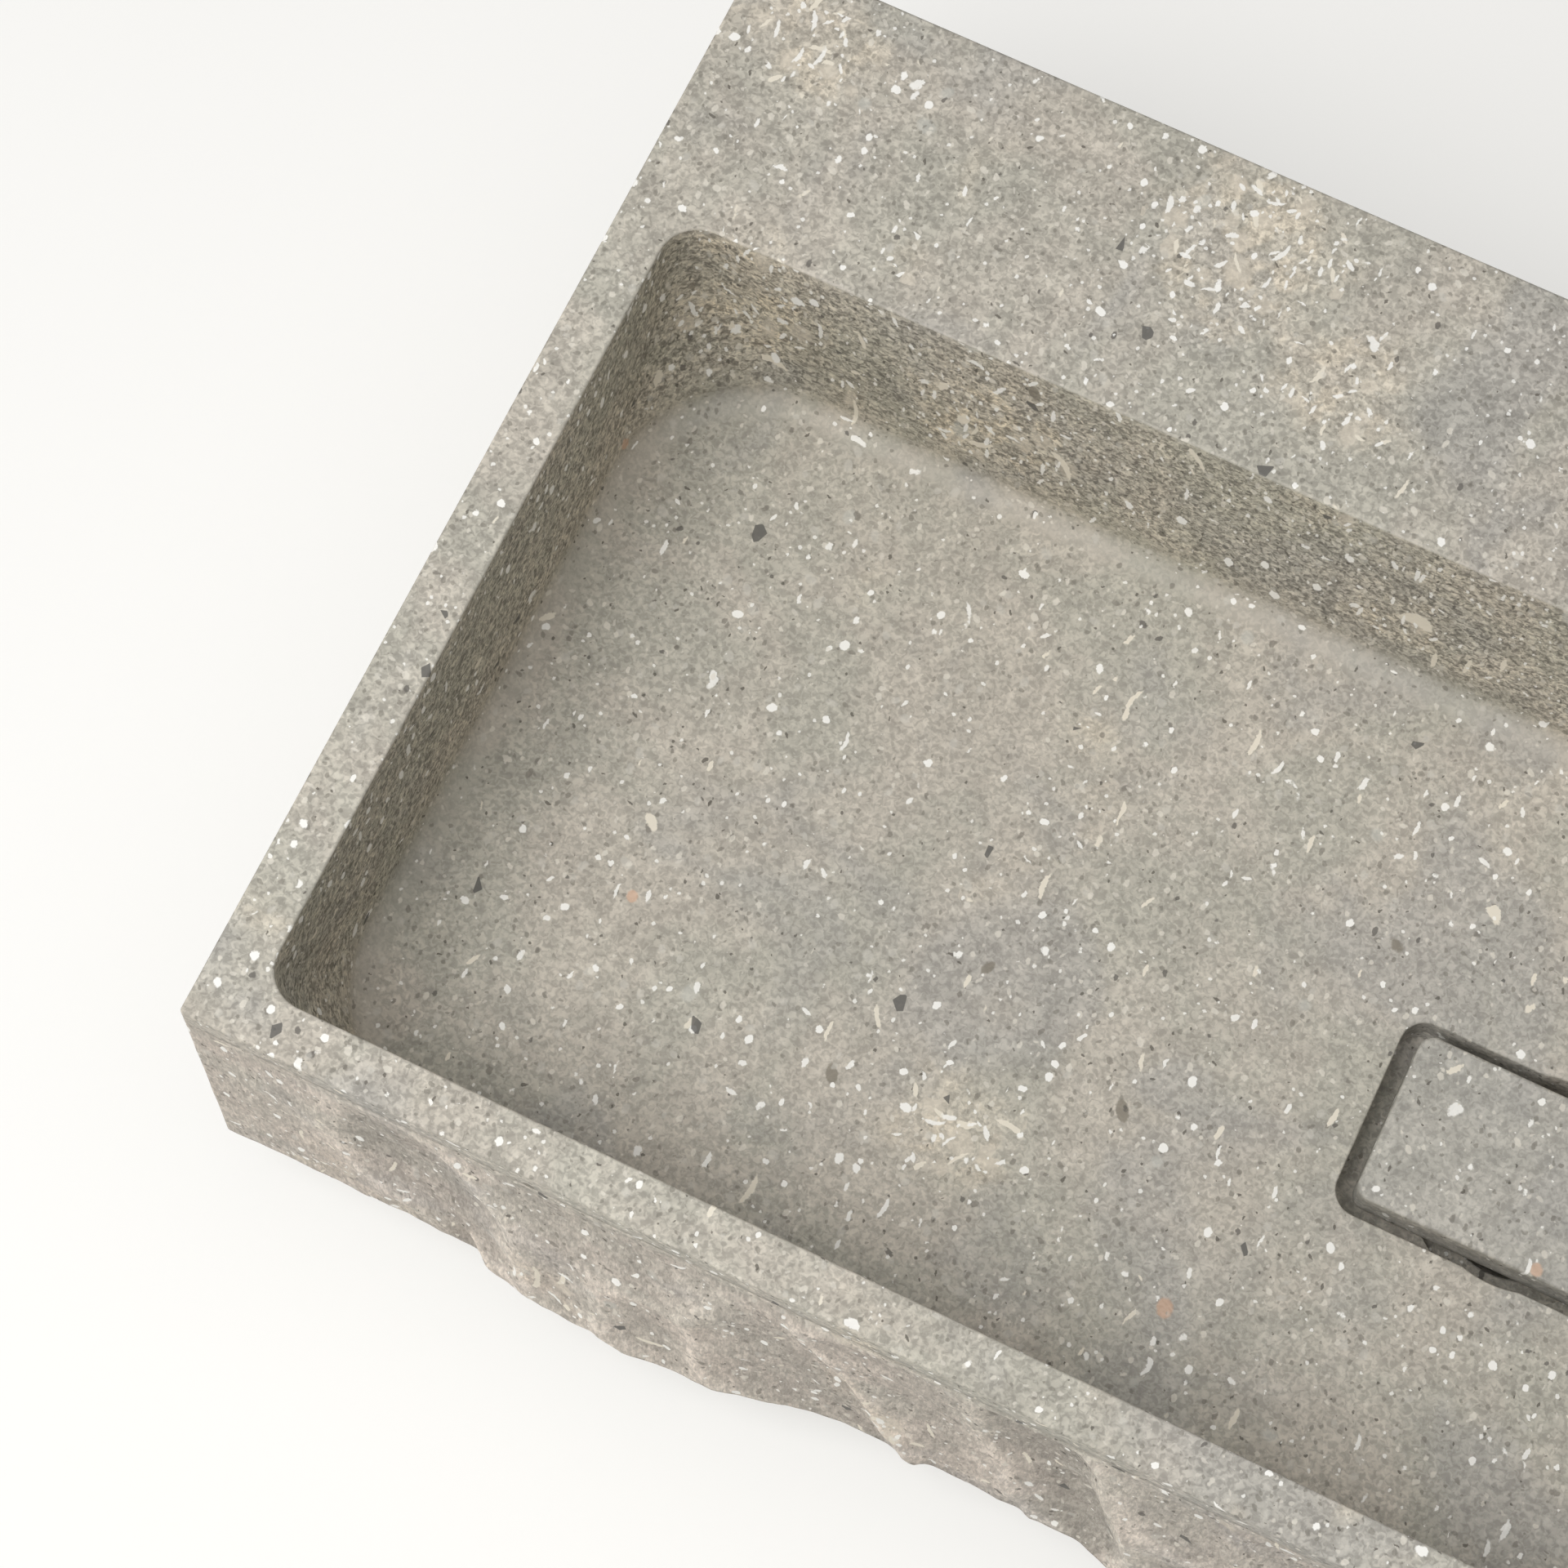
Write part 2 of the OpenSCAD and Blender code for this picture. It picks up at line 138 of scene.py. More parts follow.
def add_object(name, data):
    added = bpy.data.objects.new(name, data)
    bpy.context.scene.collection.objects.link(added)
    return added


def settled(name, piece):
    """A new object in place of a piece, with the plain mesh that its modifiers make of it."""
    made = piece.evaluated_get(bpy.context.evaluated_depsgraph_get())
    mesh = bpy.data.meshes.new_from_object(made)
    bpy.data.objects.remove(piece)
    return add_object(name, mesh)


class Patchwork:
    """The points and faces of one piece, gathered patch by patch.

    Neighbouring patches share the points along their common edge, and are joined at the end.
    Each point of a patch has three marks: its finish, -1 rubbed pale by cleaning and painted
    lighter as a highlight, 0 honed and 1 split; its relief, from -1 in a hollow of the split face,
    painted darker as shade, to 1 on a ridge, bruised pale and painted lighter as a highlight; and
    how coarse the surface was left, 1 on a wall that is only sawn, where a warm tint of shade is
    painted. The marks end where their patch does.
    """

    def __init__(self):
        self.points = []
        self.faces = []
        self.flats = []
        self.marks = {"finish": [], "relief": [], "coarse": []}
        self.count = 0

    def add(self, points, faces, flat=False, **marks):
        points = np.asarray(points, float).reshape(-1, 3)
        self.points.append(points)
        self.faces += [tuple(i + self.count for i in f) for f in faces]
        self.flats += [flat] * len(faces)
        for mark, kept in self.marks.items():
            kept.append(np.zeros(len(points)) + np.ravel(marks.get(mark, 0)))
        self.count += len(points)

    def grid(self, rows, closed=False, **marks):
        """A patch from rows of points; a closed one comes round to its first column."""
        rows = np.asarray(rows, float)
        m, n = rows.shape[:2]
        wrap = n if closed else n - 1
        faces = []
        for i in range(m - 1):
            for j in range(wrap):
                k = (j + 1) % n
                faces.append((i * n + j, (i + 1) * n + j, (i + 1) * n + k, i * n + k))
        self.add(rows, faces, **marks)

    def flat(self, outline, holes, place):
        """A flat patch inside an outline and outside its holes. place(u, v) gives a point."""
        loops = [np.asarray(loop, float) for loop in [outline, *holes]]
        rounds = []
        start = 0
        for loop in loops:
            rounds.append(list(range(start, start + len(loop))))
            start += len(loop)
        flat_points = [Vector(p) / MM for p in np.concatenate(loops)]
        inside_with_holes = 2
        found = delaunay_2d_cdt(flat_points, [], rounds, inside_with_holes, 1e-6)
        points = [place(p[0] * MM, p[1] * MM) for p in found[0]]
        self.add(points, [tuple(f) for f in found[2]], flat=True)

    def build(self, name):
        """Joins the patches into one closed object whose faces point outwards."""
        mesh = bpy.data.meshes.new(name + "_mesh")
        mesh.from_pydata(np.concatenate(self.points).tolist(), [], self.faces)
        mesh.polygons.foreach_set("use_smooth", [not f for f in self.flats])
        corners = [i for face in self.faces for i in face]
        for mark, values in self.marks.items():
            attribute = mesh.attributes.new(mark, "FLOAT", "CORNER")
            attribute.data.foreach_set("value", np.concatenate(values)[corners].astype(np.float32))
        joined = bmesh.new()
        joined.from_mesh(mesh)
        bmesh.ops.remove_doubles(joined, verts=joined.verts, dist=2e-6)
        bmesh.ops.recalc_face_normals(joined, faces=joined.faces)
        joined.to_mesh(mesh)
        joined.free()
        return add_object(name, mesh)


class Graph:
    """Adds nodes to a tree in short calls. Any input takes a value or another node's socket."""

    def __init__(self, tree):
        self.tree = tree

    def node(self, kind, inputs=(), **settings):
        made = self.tree.nodes.new(kind)
        for key, value in settings.items():
            setattr(made, key, value)
        for key, value in dict(inputs).items():
            if isinstance(value, bpy.types.NodeSocket):
                self.tree.links.new(value, made.inputs[key])
            else:
                made.inputs[key].default_value = value
        return made

    def math(self, operation, a, b=0.0, c=0.0, clamp=False):
        made = self.node("ShaderNodeMath", {0: a, 1: b, 2: c}, operation=operation, use_clamp=clamp)
        return made.outputs[0]

    def times(self, a, b):
        return self.math("MULTIPLY", a, b)

    def line(self, value, slope, start, clamp=False):
        """value times slope, added to start."""
        return self.math("MULTIPLY_ADD", value, slope, start, clamp)

    def vector(self, operation, a, b=(0, 0, 0), scale=1.0):
        made = self.node("ShaderNodeVectorMath", {0: a, 1: b, 3: scale}, operation=operation)
        return made.outputs["Value" if operation in ("LENGTH", "DOT_PRODUCT") else "Vector"]

    def shift(self, place, by):
        return self.vector("ADD", place, by)

    def axes(self, place):
        return self.node("ShaderNodeSeparateXYZ", {0: place}).outputs

    def join(self, x, y, z):
        return self.node("ShaderNodeCombineXYZ", {0: x, 1: y, 2: z}).outputs[0]

    def object_place(self):
        """Where a point lies on its object, in millimetres."""
        metres = self.node("ShaderNodeTexCoord").outputs["Object"]
        return self.vector("SCALE", metres, scale=1 / MM)

    def fade(self, value, low, high, to_low=0.0, to_high=1.0):
        """Goes smoothly from to_low to to_high while value goes from low to high."""
        made = self.node("ShaderNodeMapRange", {"Value": value, "From Min": low, "From Max": high,
                                                "To Min": to_low, "To Max": to_high},
                         interpolation_type="SMOOTHSTEP")
        return made.outputs["Result"]

    def noise(self, place, size, detail=2.0, rough=0.5, twist=0.0, output="Fac"):
        """Noise whose lumps are about size apart, in the units of place."""
        inputs = {"Vector": place, "Scale": 1 / size, "Detail": detail, "Roughness": rough,
                  "Distortion": twist}
        return self.node("ShaderNodeTexNoise", inputs).outputs[output]

    def blend(self, share, under, over, how="MIX"):
        made = self.node("ShaderNodeMix", data_type="RGBA", blend_type=how)
        for key, value in ((0, share), (6, under), (7, over)):
            if isinstance(value, bpy.types.NodeSocket):
                self.tree.links.new(value, made.inputs[key])
            else:
                made.inputs[key].default_value = value
        return made.outputs[2]


def rounded_loop(half_l, half_w, r, corner, long_side, short_side, front_side=None):
    """A rounded rectangle, anticlockwise from its right side: rows of x, y and outward x, y."""
    sides = [long_side, short_side, front_side or long_side, short_side]
    rows = []
    for q, (sx, sy) in enumerate([(1, 1), (-1, 1), (-1, -1), (1, -1)]):
        centre = np.array([sx * (half_l - r), sy * (half_w - r)])
        for i in range(corner + 1):
            a = math.radians(90 * (q + i / corner))
            out = np.array([math.cos(a), math.sin(a)])
            rows.append([*(centre + r * out), *out])
        nx, ny = [(-1, 1), (-1, -1), (1, -1), (1, 1)][q]
        ahead = np.array([nx * (half_l - r), ny * (half_w - r)]) + r * out
        here = centre + r * out
        for i in range(1, sides[q]):
            rows.append([*mix(here, ahead, i / sides[q]), *out])
    return np.array(rows)


def along(loop):
    """Distance of each point of a loop from its first, measured round the loop."""
    gaps = np.linalg.norm(np.diff(loop[:, :2], axis=0), axis=1)
    return np.concatenate([[0], np.cumsum(gaps)])


# ---------- the split face ----------
# Stone splits off a block in shells, each leaving a shallow dish, and where two dishes meet there
# is a sharp crest. The dishes are those of the construction model, in millimetres:
# (from the left end, below the top, how far its middle stands out,
#  radius to its left, radius to its right, radius up and down, lean)
SCOOPS = [
    (80, 76, -3.6, 130, 130, 560, -0.08),
    (150, 10, -1.2, 1600, 1600, 415, 0),
    (134, 76, 4.4, 190, 190, 720, 0.06),
    (184, 84, 5.4, 150, 170, 680, -0.16),
    (158, 176, 8.2, 26, 26, 90, 0),
    (256, 104, -1.4, 215, 16, 1400, -0.34),
    (296, 78, -2.8, 400, 300, 760, -0.2),
    (281, 178, 1.2, 24, 40, 90, 0.2),
    (336, 74, -5.2, 150, 40, 560, -0.16),
    (400, 16, -1, 1500, 1500, 430, 0),
    (384, 96, 5, 240, 200, 560, 0.2),
    (446, 88, -2, 60, 230, 700, 0.34),
    (520, 14, -1.2, 1300, 1300, 415, 0),
    (498, 92, 5, 180, 180, 700, -0.15),
    (546, 98, 6.2, 160, 160, 600, 0.12),
    (616, 100, -1.6, 230, 20, 1000, -0.3),
    (668, 70, -4.2, 240, 200, 620, -0.15),
    (742, 14, -1, 1500, 1500, 420, 0),
    (716, 86, 4.6, 160, 160, 640, 0.12),
    (764, 92, 6, 180, 180, 640, -0.2),
    (822, 80, -3.4, 150, 150, 560, 0.12),
]
SCOOP_SPAN = 900
SPLIT_HEIGHT = 160
FLANK_R = 6
LEFT_FLANK, RIGHT_FLANK = (104, 0.19), (96, 0.14)
FOOT_MIDDLE, FOOT_HALF, FOOT_EDGE_R = 311, 17, 7
SPLIT_MOST = 13
CREST_WIDTH = 0.6
FLAT_END, FLAT_END_RUN = 36, 34


def soft_min(a, b, k):
    return np.minimum(a, b) - (np.maximum(0, k - np.abs(a - b)) / k) ** 2 * k / 4


def split_out(u, v):
    """How far the split face stands out, all in millimetres, at u along it and v below the top."""
    su = u + 2 * wave(u / 383 - v / 107) - wave(v / 46 + u / 270)
    sv = v - 2.6 * wave(u / 119 + 0.175) - 1.3 * wave(u / 51 - v / 195)
    up = SPLIT_HEIGHT - v
    left = np.maximum(0, su - LEFT_FLANK[0] + LEFT_FLANK[1] * up) ** 2 / (2 * FLANK_R)
    right = np.maximum(0, SCOOP_SPAN - RIGHT_FLANK[0] + RIGHT_FLANK[1] * up - su) ** 2
    foot = np.maximum(0, np.abs(u - FOOT_MIDDLE) - FOOT_HALF) ** 2 / (2 * FOOT_EDGE_R)
    surfaces = [left, right / (2 * FLANK_R), foot + 0.02 * up]
    for x, down, out, left_r, right_r, tall_r, lean in SCOOPS:
        dv = down - sv
        du = su - x - lean * dv
        across_r = np.where(du < 0, left_r, right_r)
        surfaces.append(out + du ** 2 / (2 * across_r) + dv ** 2 / (2 * tall_r))
    out = np.full(np.shape(u), float(SPLIT_MOST))
    for surface in surfaces:
        out = soft_min(out, surface, CREST_WIDTH)
    left_end = smooth01((u - FLAT_END) / FLAT_END_RUN)
    right_end = smooth01((SCOOP_SPAN - FLAT_END - u) / FLAT_END_RUN)
    return np.where(out < 0, out * left_end * right_end, out)


def blurred(field, reach):
    """A grid of values, each taken as the mean over so many steps each way."""
    for axis in (0, 1):
        margin = [(reach, reach) if a == axis else (0, 0) for a in (0, 1)]
        padded = np.pad(field, margin, "edge")
        field = np.lib.stride_tricks.sliding_window_view(padded, 2 * reach + 1, axis).mean(-1)
    return field


def chipping(x, z):
    """Fine unevenness of broken stone, in metres: small dishes, soft lumps and thin flakes."""
    bent = noise.noise(Vector((x * 60, 5.2, z * 60))) * 0.25
    dishes = noise.voronoi(Vector((x * 34 + z * 9 + bent, 1.7, z * 24 - x * 6 + bent)))[0]
    lumps = noise.fractal(Vector((x * 95, 3.1, z * 95)), 0.9, 2.2, 3)
    flakes = noise.voronoi(Vector((x * 70, 8.4, z * 110)))[0]
    edge = min(1.0, (flakes[1] - flakes[0]) * 3)
    return (2.4 * (dishes[0] ** 2 - 0.22) + 0.26 * lumps - 0.20 * (1 - edge)) * MM


# ---------- the block ----------

FRONT_STEPS = 520
BACK_STEPS = 60
END_STEPS = 40
CORNER_STEPS = 4
EASE_STEPS = 4
SPLIT_STEP = 1.62 * MM
RELIEF_BOOST = 0.9                   # share of the ridges' own height that is added to them


def block_loop():
    """Outline of the block, with its middle on the Y of the block's middle."""
    half_w = -FRONT / 2
    loop = rounded_loop(HALF_L, half_w, CORNER_R, CORNER_STEPS, BACK_STEPS, END_STEPS, FRONT_STEPS)
    loop[:, 1] += FRONT / 2
    return loop


def edge_ease(distance, size, seed):
    """Size of a hand-eased edge along its run: it wavers, and small chips widen it."""
    waver = 1 + 0.16 * rough_line(distance, 0.022, seed)
    waver += 0.10 * rough_line(distance, 0.006, seed + 1)
    chips = np.clip(rough_line(distance, 0.0045, seed + 2) - 0.42, 0, 1) * 1.6
    rare = np.clip(rough_line(distance, 0.045, seed + 3) - 0.05, 0, 1) * 1.6
    return size * (waver + chips * rare)


def eased_rows(loop, ease, z, inward=1):
    """Rows of a quarter round from the flat top at z down to the upright face of the loop."""
    rows = []
    for i in range(EASE_STEPS + 1):
        a = math.pi / 2 * i / EASE_STEPS
        inset = ease * (1 - math.sin(a)) * inward
        drop = ease * (1 - math.cos(a))
        xy = loop[:, :2] - loop[:, 2:] * inset[:, None]
        rows.append(np.column_stack([xy, z - drop]))
    return rows


def front_columns(loop):
    """The loop's columns that belong to the front, its two upright corners included."""
    n = len(loop)
    start = 2 * (CORNER_STEPS + 1) + BACK_STEPS - 1 + END_STEPS - 1
    stop = start + 2 * (CORNER_STEPS + 1) + FRONT_STEPS - 1
    return [i % n for i in range(start, stop)]


def block_front(patches, loop, eased_edge):
    """Fascia, sawn line and split face, from the eased edge down to the bottom."""
    columns = front_columns(loop)
    base = loop[columns]
    top_row = eased_edge[columns]
    x = base[:, 0]
    facing = np.clip(-base[:, 3], 0, 1)          # 1 on the front, 0 where a corner meets the end
    waver = 0.35 * MM * rough_line(x, 0.05, 11) + 0.12 * MM * rough_line(x, 0.009, 12)
    rows, finish = [top_row], [0 * x]

    def row(down, out, mark):
        xy = base[:, :2] + base[:, 2:] * (out * facing)[:, None]
        rows.append(np.column_stack([xy, TOP - down]))
        finish.append(mark + 0 * x)

    for share in (0.3, 0.65):
        row(mix(EASE * 1.4, FASCIA_H - SAW_LINE_W, share) + 0 * x, 0 * x, 0)
    line_depth = SAW_LINE_DEPTH * (0.75 + 0.35 * rough_line(x, 0.03, 13))
    for place, depth in ((-0.4, 0), (-0.25, 0.8), (0, 1), (0.25, 0.6), (0.9, 0.1)):
        row(FASCIA_H + waver + place * SAW_LINE_W, -depth * line_depth, 0.5 if depth else 0)

    split_top = FASCIA_H + 1.5 * SAW_LINE_W
    count = round((TOP - BOTTOM - split_top) / SPLIT_STEP)
    downs = np.linspace(split_top, TOP - BOTTOM, count + 1)
    u = (x + HALF_L) / (2 * HALF_L) * SCOOP_SPAN
    dishes = np.array([split_out(u, np.full(len(u), down / MM)) for down in downs]) * MM
    stand = dishes - blurred(dishes, 12)                     # ridges above 0, hollows below
    sharp = dishes - blurred(dishes, 2)
    ends = mix(0.25, 1, smooth01((HALF_L - np.abs(x)) / 0.05))      # calmer near the corners
    for i, down in enumerate(downs):
        below = (down - split_top) / 0.012
        deep = 0.5 * smooth01(below) + 0.5 * np.clip(below, 0, 1)
        fine = np.array([chipping(a, down) for a in x]) * smooth01(i / 9) * ends
        lively = RELIEF_BOOST * smooth01(min(i, count - i) / 14) * ends
        out = np.minimum(dishes[i] * deep + stand[i] * lively + fine, BULGE)
        row(down + waver * max(0, 1 - i / 4), out, mix(0.5, 1, min(1, i / 5)))
    rows[-1][:, 2] = BOTTOM
    # the split face's ridges and hollows, which its colour later paints lighter as a highlight and
    # darker as shade
    relief = np.clip(stand / (1.1 * MM) + np.clip(sharp, 0, 1) / (0.10 * MM), -1, 1) * facing
    above = len(rows) - len(relief)
    patches.grid(rows, finish=finish, relief=np.vstack([np.zeros((above, len(x))), relief]))
    return np.array(rows)


def block_sides(patches, loop, eased_edge, front_rows):
    """The two ends and the back, with the holes for the wall sleeves."""
    n = len(loop)
    columns = front_columns(loop)
    back_first = CORNER_STEPS                      # end of the back right corner
    back_last = back_first + BACK_STEPS            # start of the back left corner
    for start in (0, back_last):
        corner = [start + i for i in range(CORNER_STEPS + 1)]
        lower = np.column_stack([loop[corner, :2], np.full(len(corner), BOTTOM)])
        patches.grid([eased_edge[corner], lower])
    # ends, seen along X: the upper edge from the back to the front, down the front corner and
    # along the bottom to the back
    left_top = eased_edge[back_last + CORNER_STEPS: columns[0] + 1]
    right_top = eased_edge[[i % n for i in range(columns[-1], n + 1)]]
    for x, upper, corner in ((-HALF_L, left_top, front_rows[:, 0]),
                             (HALF_L, right_top[::-1], front_rows[:, -1])):
        outline = [(p[1], p[2]) for p in upper] + [(p[1], p[2]) for p in corner[1:]]
        outline.append((upper[0][1], BOTTOM))
        patches.flat(outline, [], lambda u, v, x=x: (x, u, v))
    # back, with a ring of points round each sleeve hole
    upper = eased_edge[back_first: back_last + 1]
    outline = [(p[0], p[2]) for p in upper] + [(upper[-1][0], BOTTOM), (upper[0][0], BOTTOM)]
    turn = turns(48)
    hole = SLEEVE_HOLE_R * np.column_stack([np.cos(turn), np.sin(turn)])
    holes = [hole + np.array([side * SLEEVE_X, 0]) for side in (-1, 1)]
    patches.flat(outline, holes, lambda u, v: (u, 0, v))
    for hole in holes:
        ring = [[(p[0], y, p[1]) for p in hole] for y in (0, -SLEEVE_HOLE_DEPTH)]
        patches.grid(ring, closed=True)
        patches.flat(hole, [], lambda u, v: (u, -SLEEVE_HOLE_DEPTH, v))


def drain_circle(r):
    turn = turns(96)
    return np.column_stack([r * np.cos(turn), DRAIN_Y + r * np.sin(turn)])


def block_bottom(patches, loop, front_rows):
    """The sawn underside, with the ground seat round the waste's bore."""
    columns = front_columns(loop)
    others = [i for i in range(len(loop)) if i not in set(columns)]
    # only the points that the upright faces share: the corners at the back, and all of the front
    corner_points = [i for i in others if i <= CORNER_STEPS
                     or CORNER_STEPS + BACK_STEPS <= i <= 2 * CORNER_STEPS + BACK_STEPS + 1]
    back = [tuple(loop[i, :2]) for i in corner_points if i <= 2 * CORNER_STEPS + BACK_STEPS]
    outline = back + [(p[0], p[1]) for p in front_rows[-1]]
    bore, seat = drain_circle(BORE_R), drain_circle(SEAT_R)
    seat_z = BOTTOM + SEAT_DEPTH
    patches.flat(outline, [seat], lambda u, v: (u, v, BOTTOM))
    patches.flat(seat, [bore], lambda u, v: (u, v, seat_z))
    patches.grid([[(*p, z) for p in seat] for z in (seat_z, BOTTOM)], closed=True)
    patches.grid([[(*p, z) for p in bore] for z in (SUMP, seat_z)], closed=True)


# ---------- the hollow ----------

HOLLOW_CORNER, HOLLOW_LONG, HOLLOW_SHORT = 14, 110, 36       # steps round it
WALL_STEPS, FILLET_STEPS, FLOOR_STEPS = 16, 9, 22            # steps down and across it
ARC_STEPS = 44


def hollow_ring(half_l, half_w, r):
    loop = rounded_loop(half_l, half_w, r, HOLLOW_CORNER, HOLLOW_LONG, HOLLOW_SHORT)
    loop[:, 1] += DRAIN_Y
    return loop


def recess_ring():
    """Edge of the recess; the round sump nicks the middle of both long sides."""
    loop = hollow_ring(RECESS_HALF_L, RECESS_HALF_W, RECESS_R)
    x, y = loop[:, 0], loop[:, 1] - DRAIN_Y
    reach = np.sqrt(np.maximum(0, SUMP_R ** 2 - x ** 2))
    nicked = (np.abs(y) > RECESS_HALF_W - 1e-9) & (reach > RECESS_HALF_W)
    loop[nicked, 1] = DRAIN_Y + np.sign(y[nicked]) * reach[nicked]
    return loop, nicked


def fall_share(t):
    """Share of the floor's fall at t on the way from its edge to the drain."""
    low, high = smooth01(0.25), smooth01(0.75)
    return (smooth01(0.25 + t / 2) - low) / (high - low)


def hollow(patches):
    """Eased rim, leaning walls whose corners open out, the fillet and the dished floor."""
    rim = hollow_ring(BASIN_HALF_L, BASIN_HALF_W, RIM_R)
    ease = edge_ease(along(rim), RIM_EASE, 21)
    ease[-1] = ease[0] = (ease[0] + ease[-1]) / 2
    rows = eased_rows(rim, ease, TOP, inward=-1)
    rim_row = rows[0]
    foot_z = DRAIN_TOP + FLOOR_FALL + FILLET
    for i in range(1, WALL_STEPS + 1):
        t = i / WALL_STEPS
        inset, r = DRAFT * t, mix(RIM_R, FLOOR_R, t * t)
        ring = hollow_ring(BASIN_HALF_L - inset, BASIN_HALF_W - inset, r)
        rows.append(np.column_stack([ring[:, :2], mix(rows[EASE_STEPS][:, 2], foot_z, t)]))
    for i in range(1, FILLET_STEPS + 1):
        a = math.pi / 2 * i / FILLET_STEPS
        inward = FILLET * (1 - math.cos(a))
        inset = DRAFT + inward
        ring = hollow_ring(BASIN_HALF_L - inset, BASIN_HALF_W - inset, FLOOR_R - inward)
        level = np.full(len(ring), foot_z - FILLET * math.sin(a))
        rows.append(np.column_stack([ring[:, :2], level]))
    foot = rows[-1]
    # marks of each row: the rim's easing and the fillet are rubbed and painted pale as a highlight,
    # the floor and the recess a little paler, and the walls are coarse, with a painted warm tint of
    # shade
    finish = [-0.6] * (EASE_STEPS + 1) + [0] * (WALL_STEPS - 2) + [-0.3, -0.7]
    finish += [-1] * (FILLET_STEPS - 1) + [-0.7]
    coarse = [0] * EASE_STEPS + [1] * (WALL_STEPS + 1) + [0.85, 0.55, 0.25, 0.05]
    edge, nicked = recess_ring()
    recess_ease = edge_ease(along(edge), RECESS_EASE, 31)
    recess_ease[-1] = recess_ease[0]
    recess_rows = eased_rows(edge, recess_ease, DRAIN_TOP, inward=-1)
    for t in (0.01, *(i / FLOOR_STEPS for i in range(1, FLOOR_STEPS))):
        row = mix(foot, recess_rows[0], t)
        row[:, 2] = mix(DRAIN_TOP + FLOOR_FALL, DRAIN_TOP, fall_share(t))
        rows.append(row)
    rows += recess_rows
    finish += [-0.3] * (len(rows) - len(finish))
    coarse += [0] * (len(rows) - len(coarse))
    n = len(rim)
    patches.grid(rows, closed=True, finish=np.repeat(finish, n), coarse=np.repeat(coarse, n))
    recess(patches, edge, nicked, recess_rows[-1])
    return rim_row


def recess(patches, edge, nicked, upper):
    """Walls of the recess, its ledge on either side of the sump, and the sump with its bore."""
    n = len(edge)
    lower = np.column_stack([edge[:, :2], np.full(n, LEDGE)])
    patches.grid([upper, mix(upper, lower, 0.5), lower], closed=True)
    # the ring of the sump takes over the points of the two nicks
    xy = edge[:, :2] - np.array([0, DRAIN_Y])
    back_nick = [i for i in range(n) if nicked[i] and xy[i, 1] > 0]       # from right to left
    front_nick = [i for i in range(n) if nicked[i] and xy[i, 1] < 0]      # from left to right

    def arc(start, stop):
        a0 = math.atan2(xy[start, 1], xy[start, 0])
        a1 = math.atan2(xy[stop, 1], xy[stop, 0])
        a1 += TAU if a1 < a0 else 0
        turn = [mix(a0, a1, i / ARC_STEPS) for i in range(1, ARC_STEPS)]
        return [(SUMP_R * math.cos(a), DRAIN_Y + SUMP_R * math.sin(a)) for a in turn]

    left_arc = arc(back_nick[-1], front_nick[0])
    right_arc = arc(front_nick[-1], back_nick[0])
    at = [tuple(p) for p in edge[:, :2]]
    left = [at[i] for i in range(back_nick[-1], front_nick[0] + 1)]
    right = [at[i % n] for i in range(front_nick[-1], n + back_nick[0] + 1)]
    for outline in (left + left_arc[::-1], right + right_arc[::-1]):
        patches.flat(outline, [], lambda u, v: (u, v, LEDGE))
    ring = [at[i] for i in back_nick] + left_arc + [at[i] for i in front_nick] + right_arc
    patches.grid([[(*p, z) for p in ring] for z in (LEDGE, SUMP)], closed=True)
    patches.flat(ring, [drain_circle(BORE_R)], lambda u, v: (u, v, SUMP))


def make_stone_basin():
    patches = Patchwork()
    loop = block_loop()
    ease = edge_ease(along(loop), EASE, 1)
    ease[-1] = ease[0]
    rows = eased_rows(loop, ease, TOP)
    patches.grid(rows, closed=True)
    rim_row = hollow(patches)
    patches.flat(rows[0][:, :2], [rim_row[:, :2]], lambda u, v: (u, v, TOP))
    front_rows = block_front(patches, loop, rows[-1])
    block_sides(patches, loop, rows[-1], front_rows)
    block_bottom(patches, loop, front_rows)
    return patches.build("trough_block")


# ---------- the cover ----------

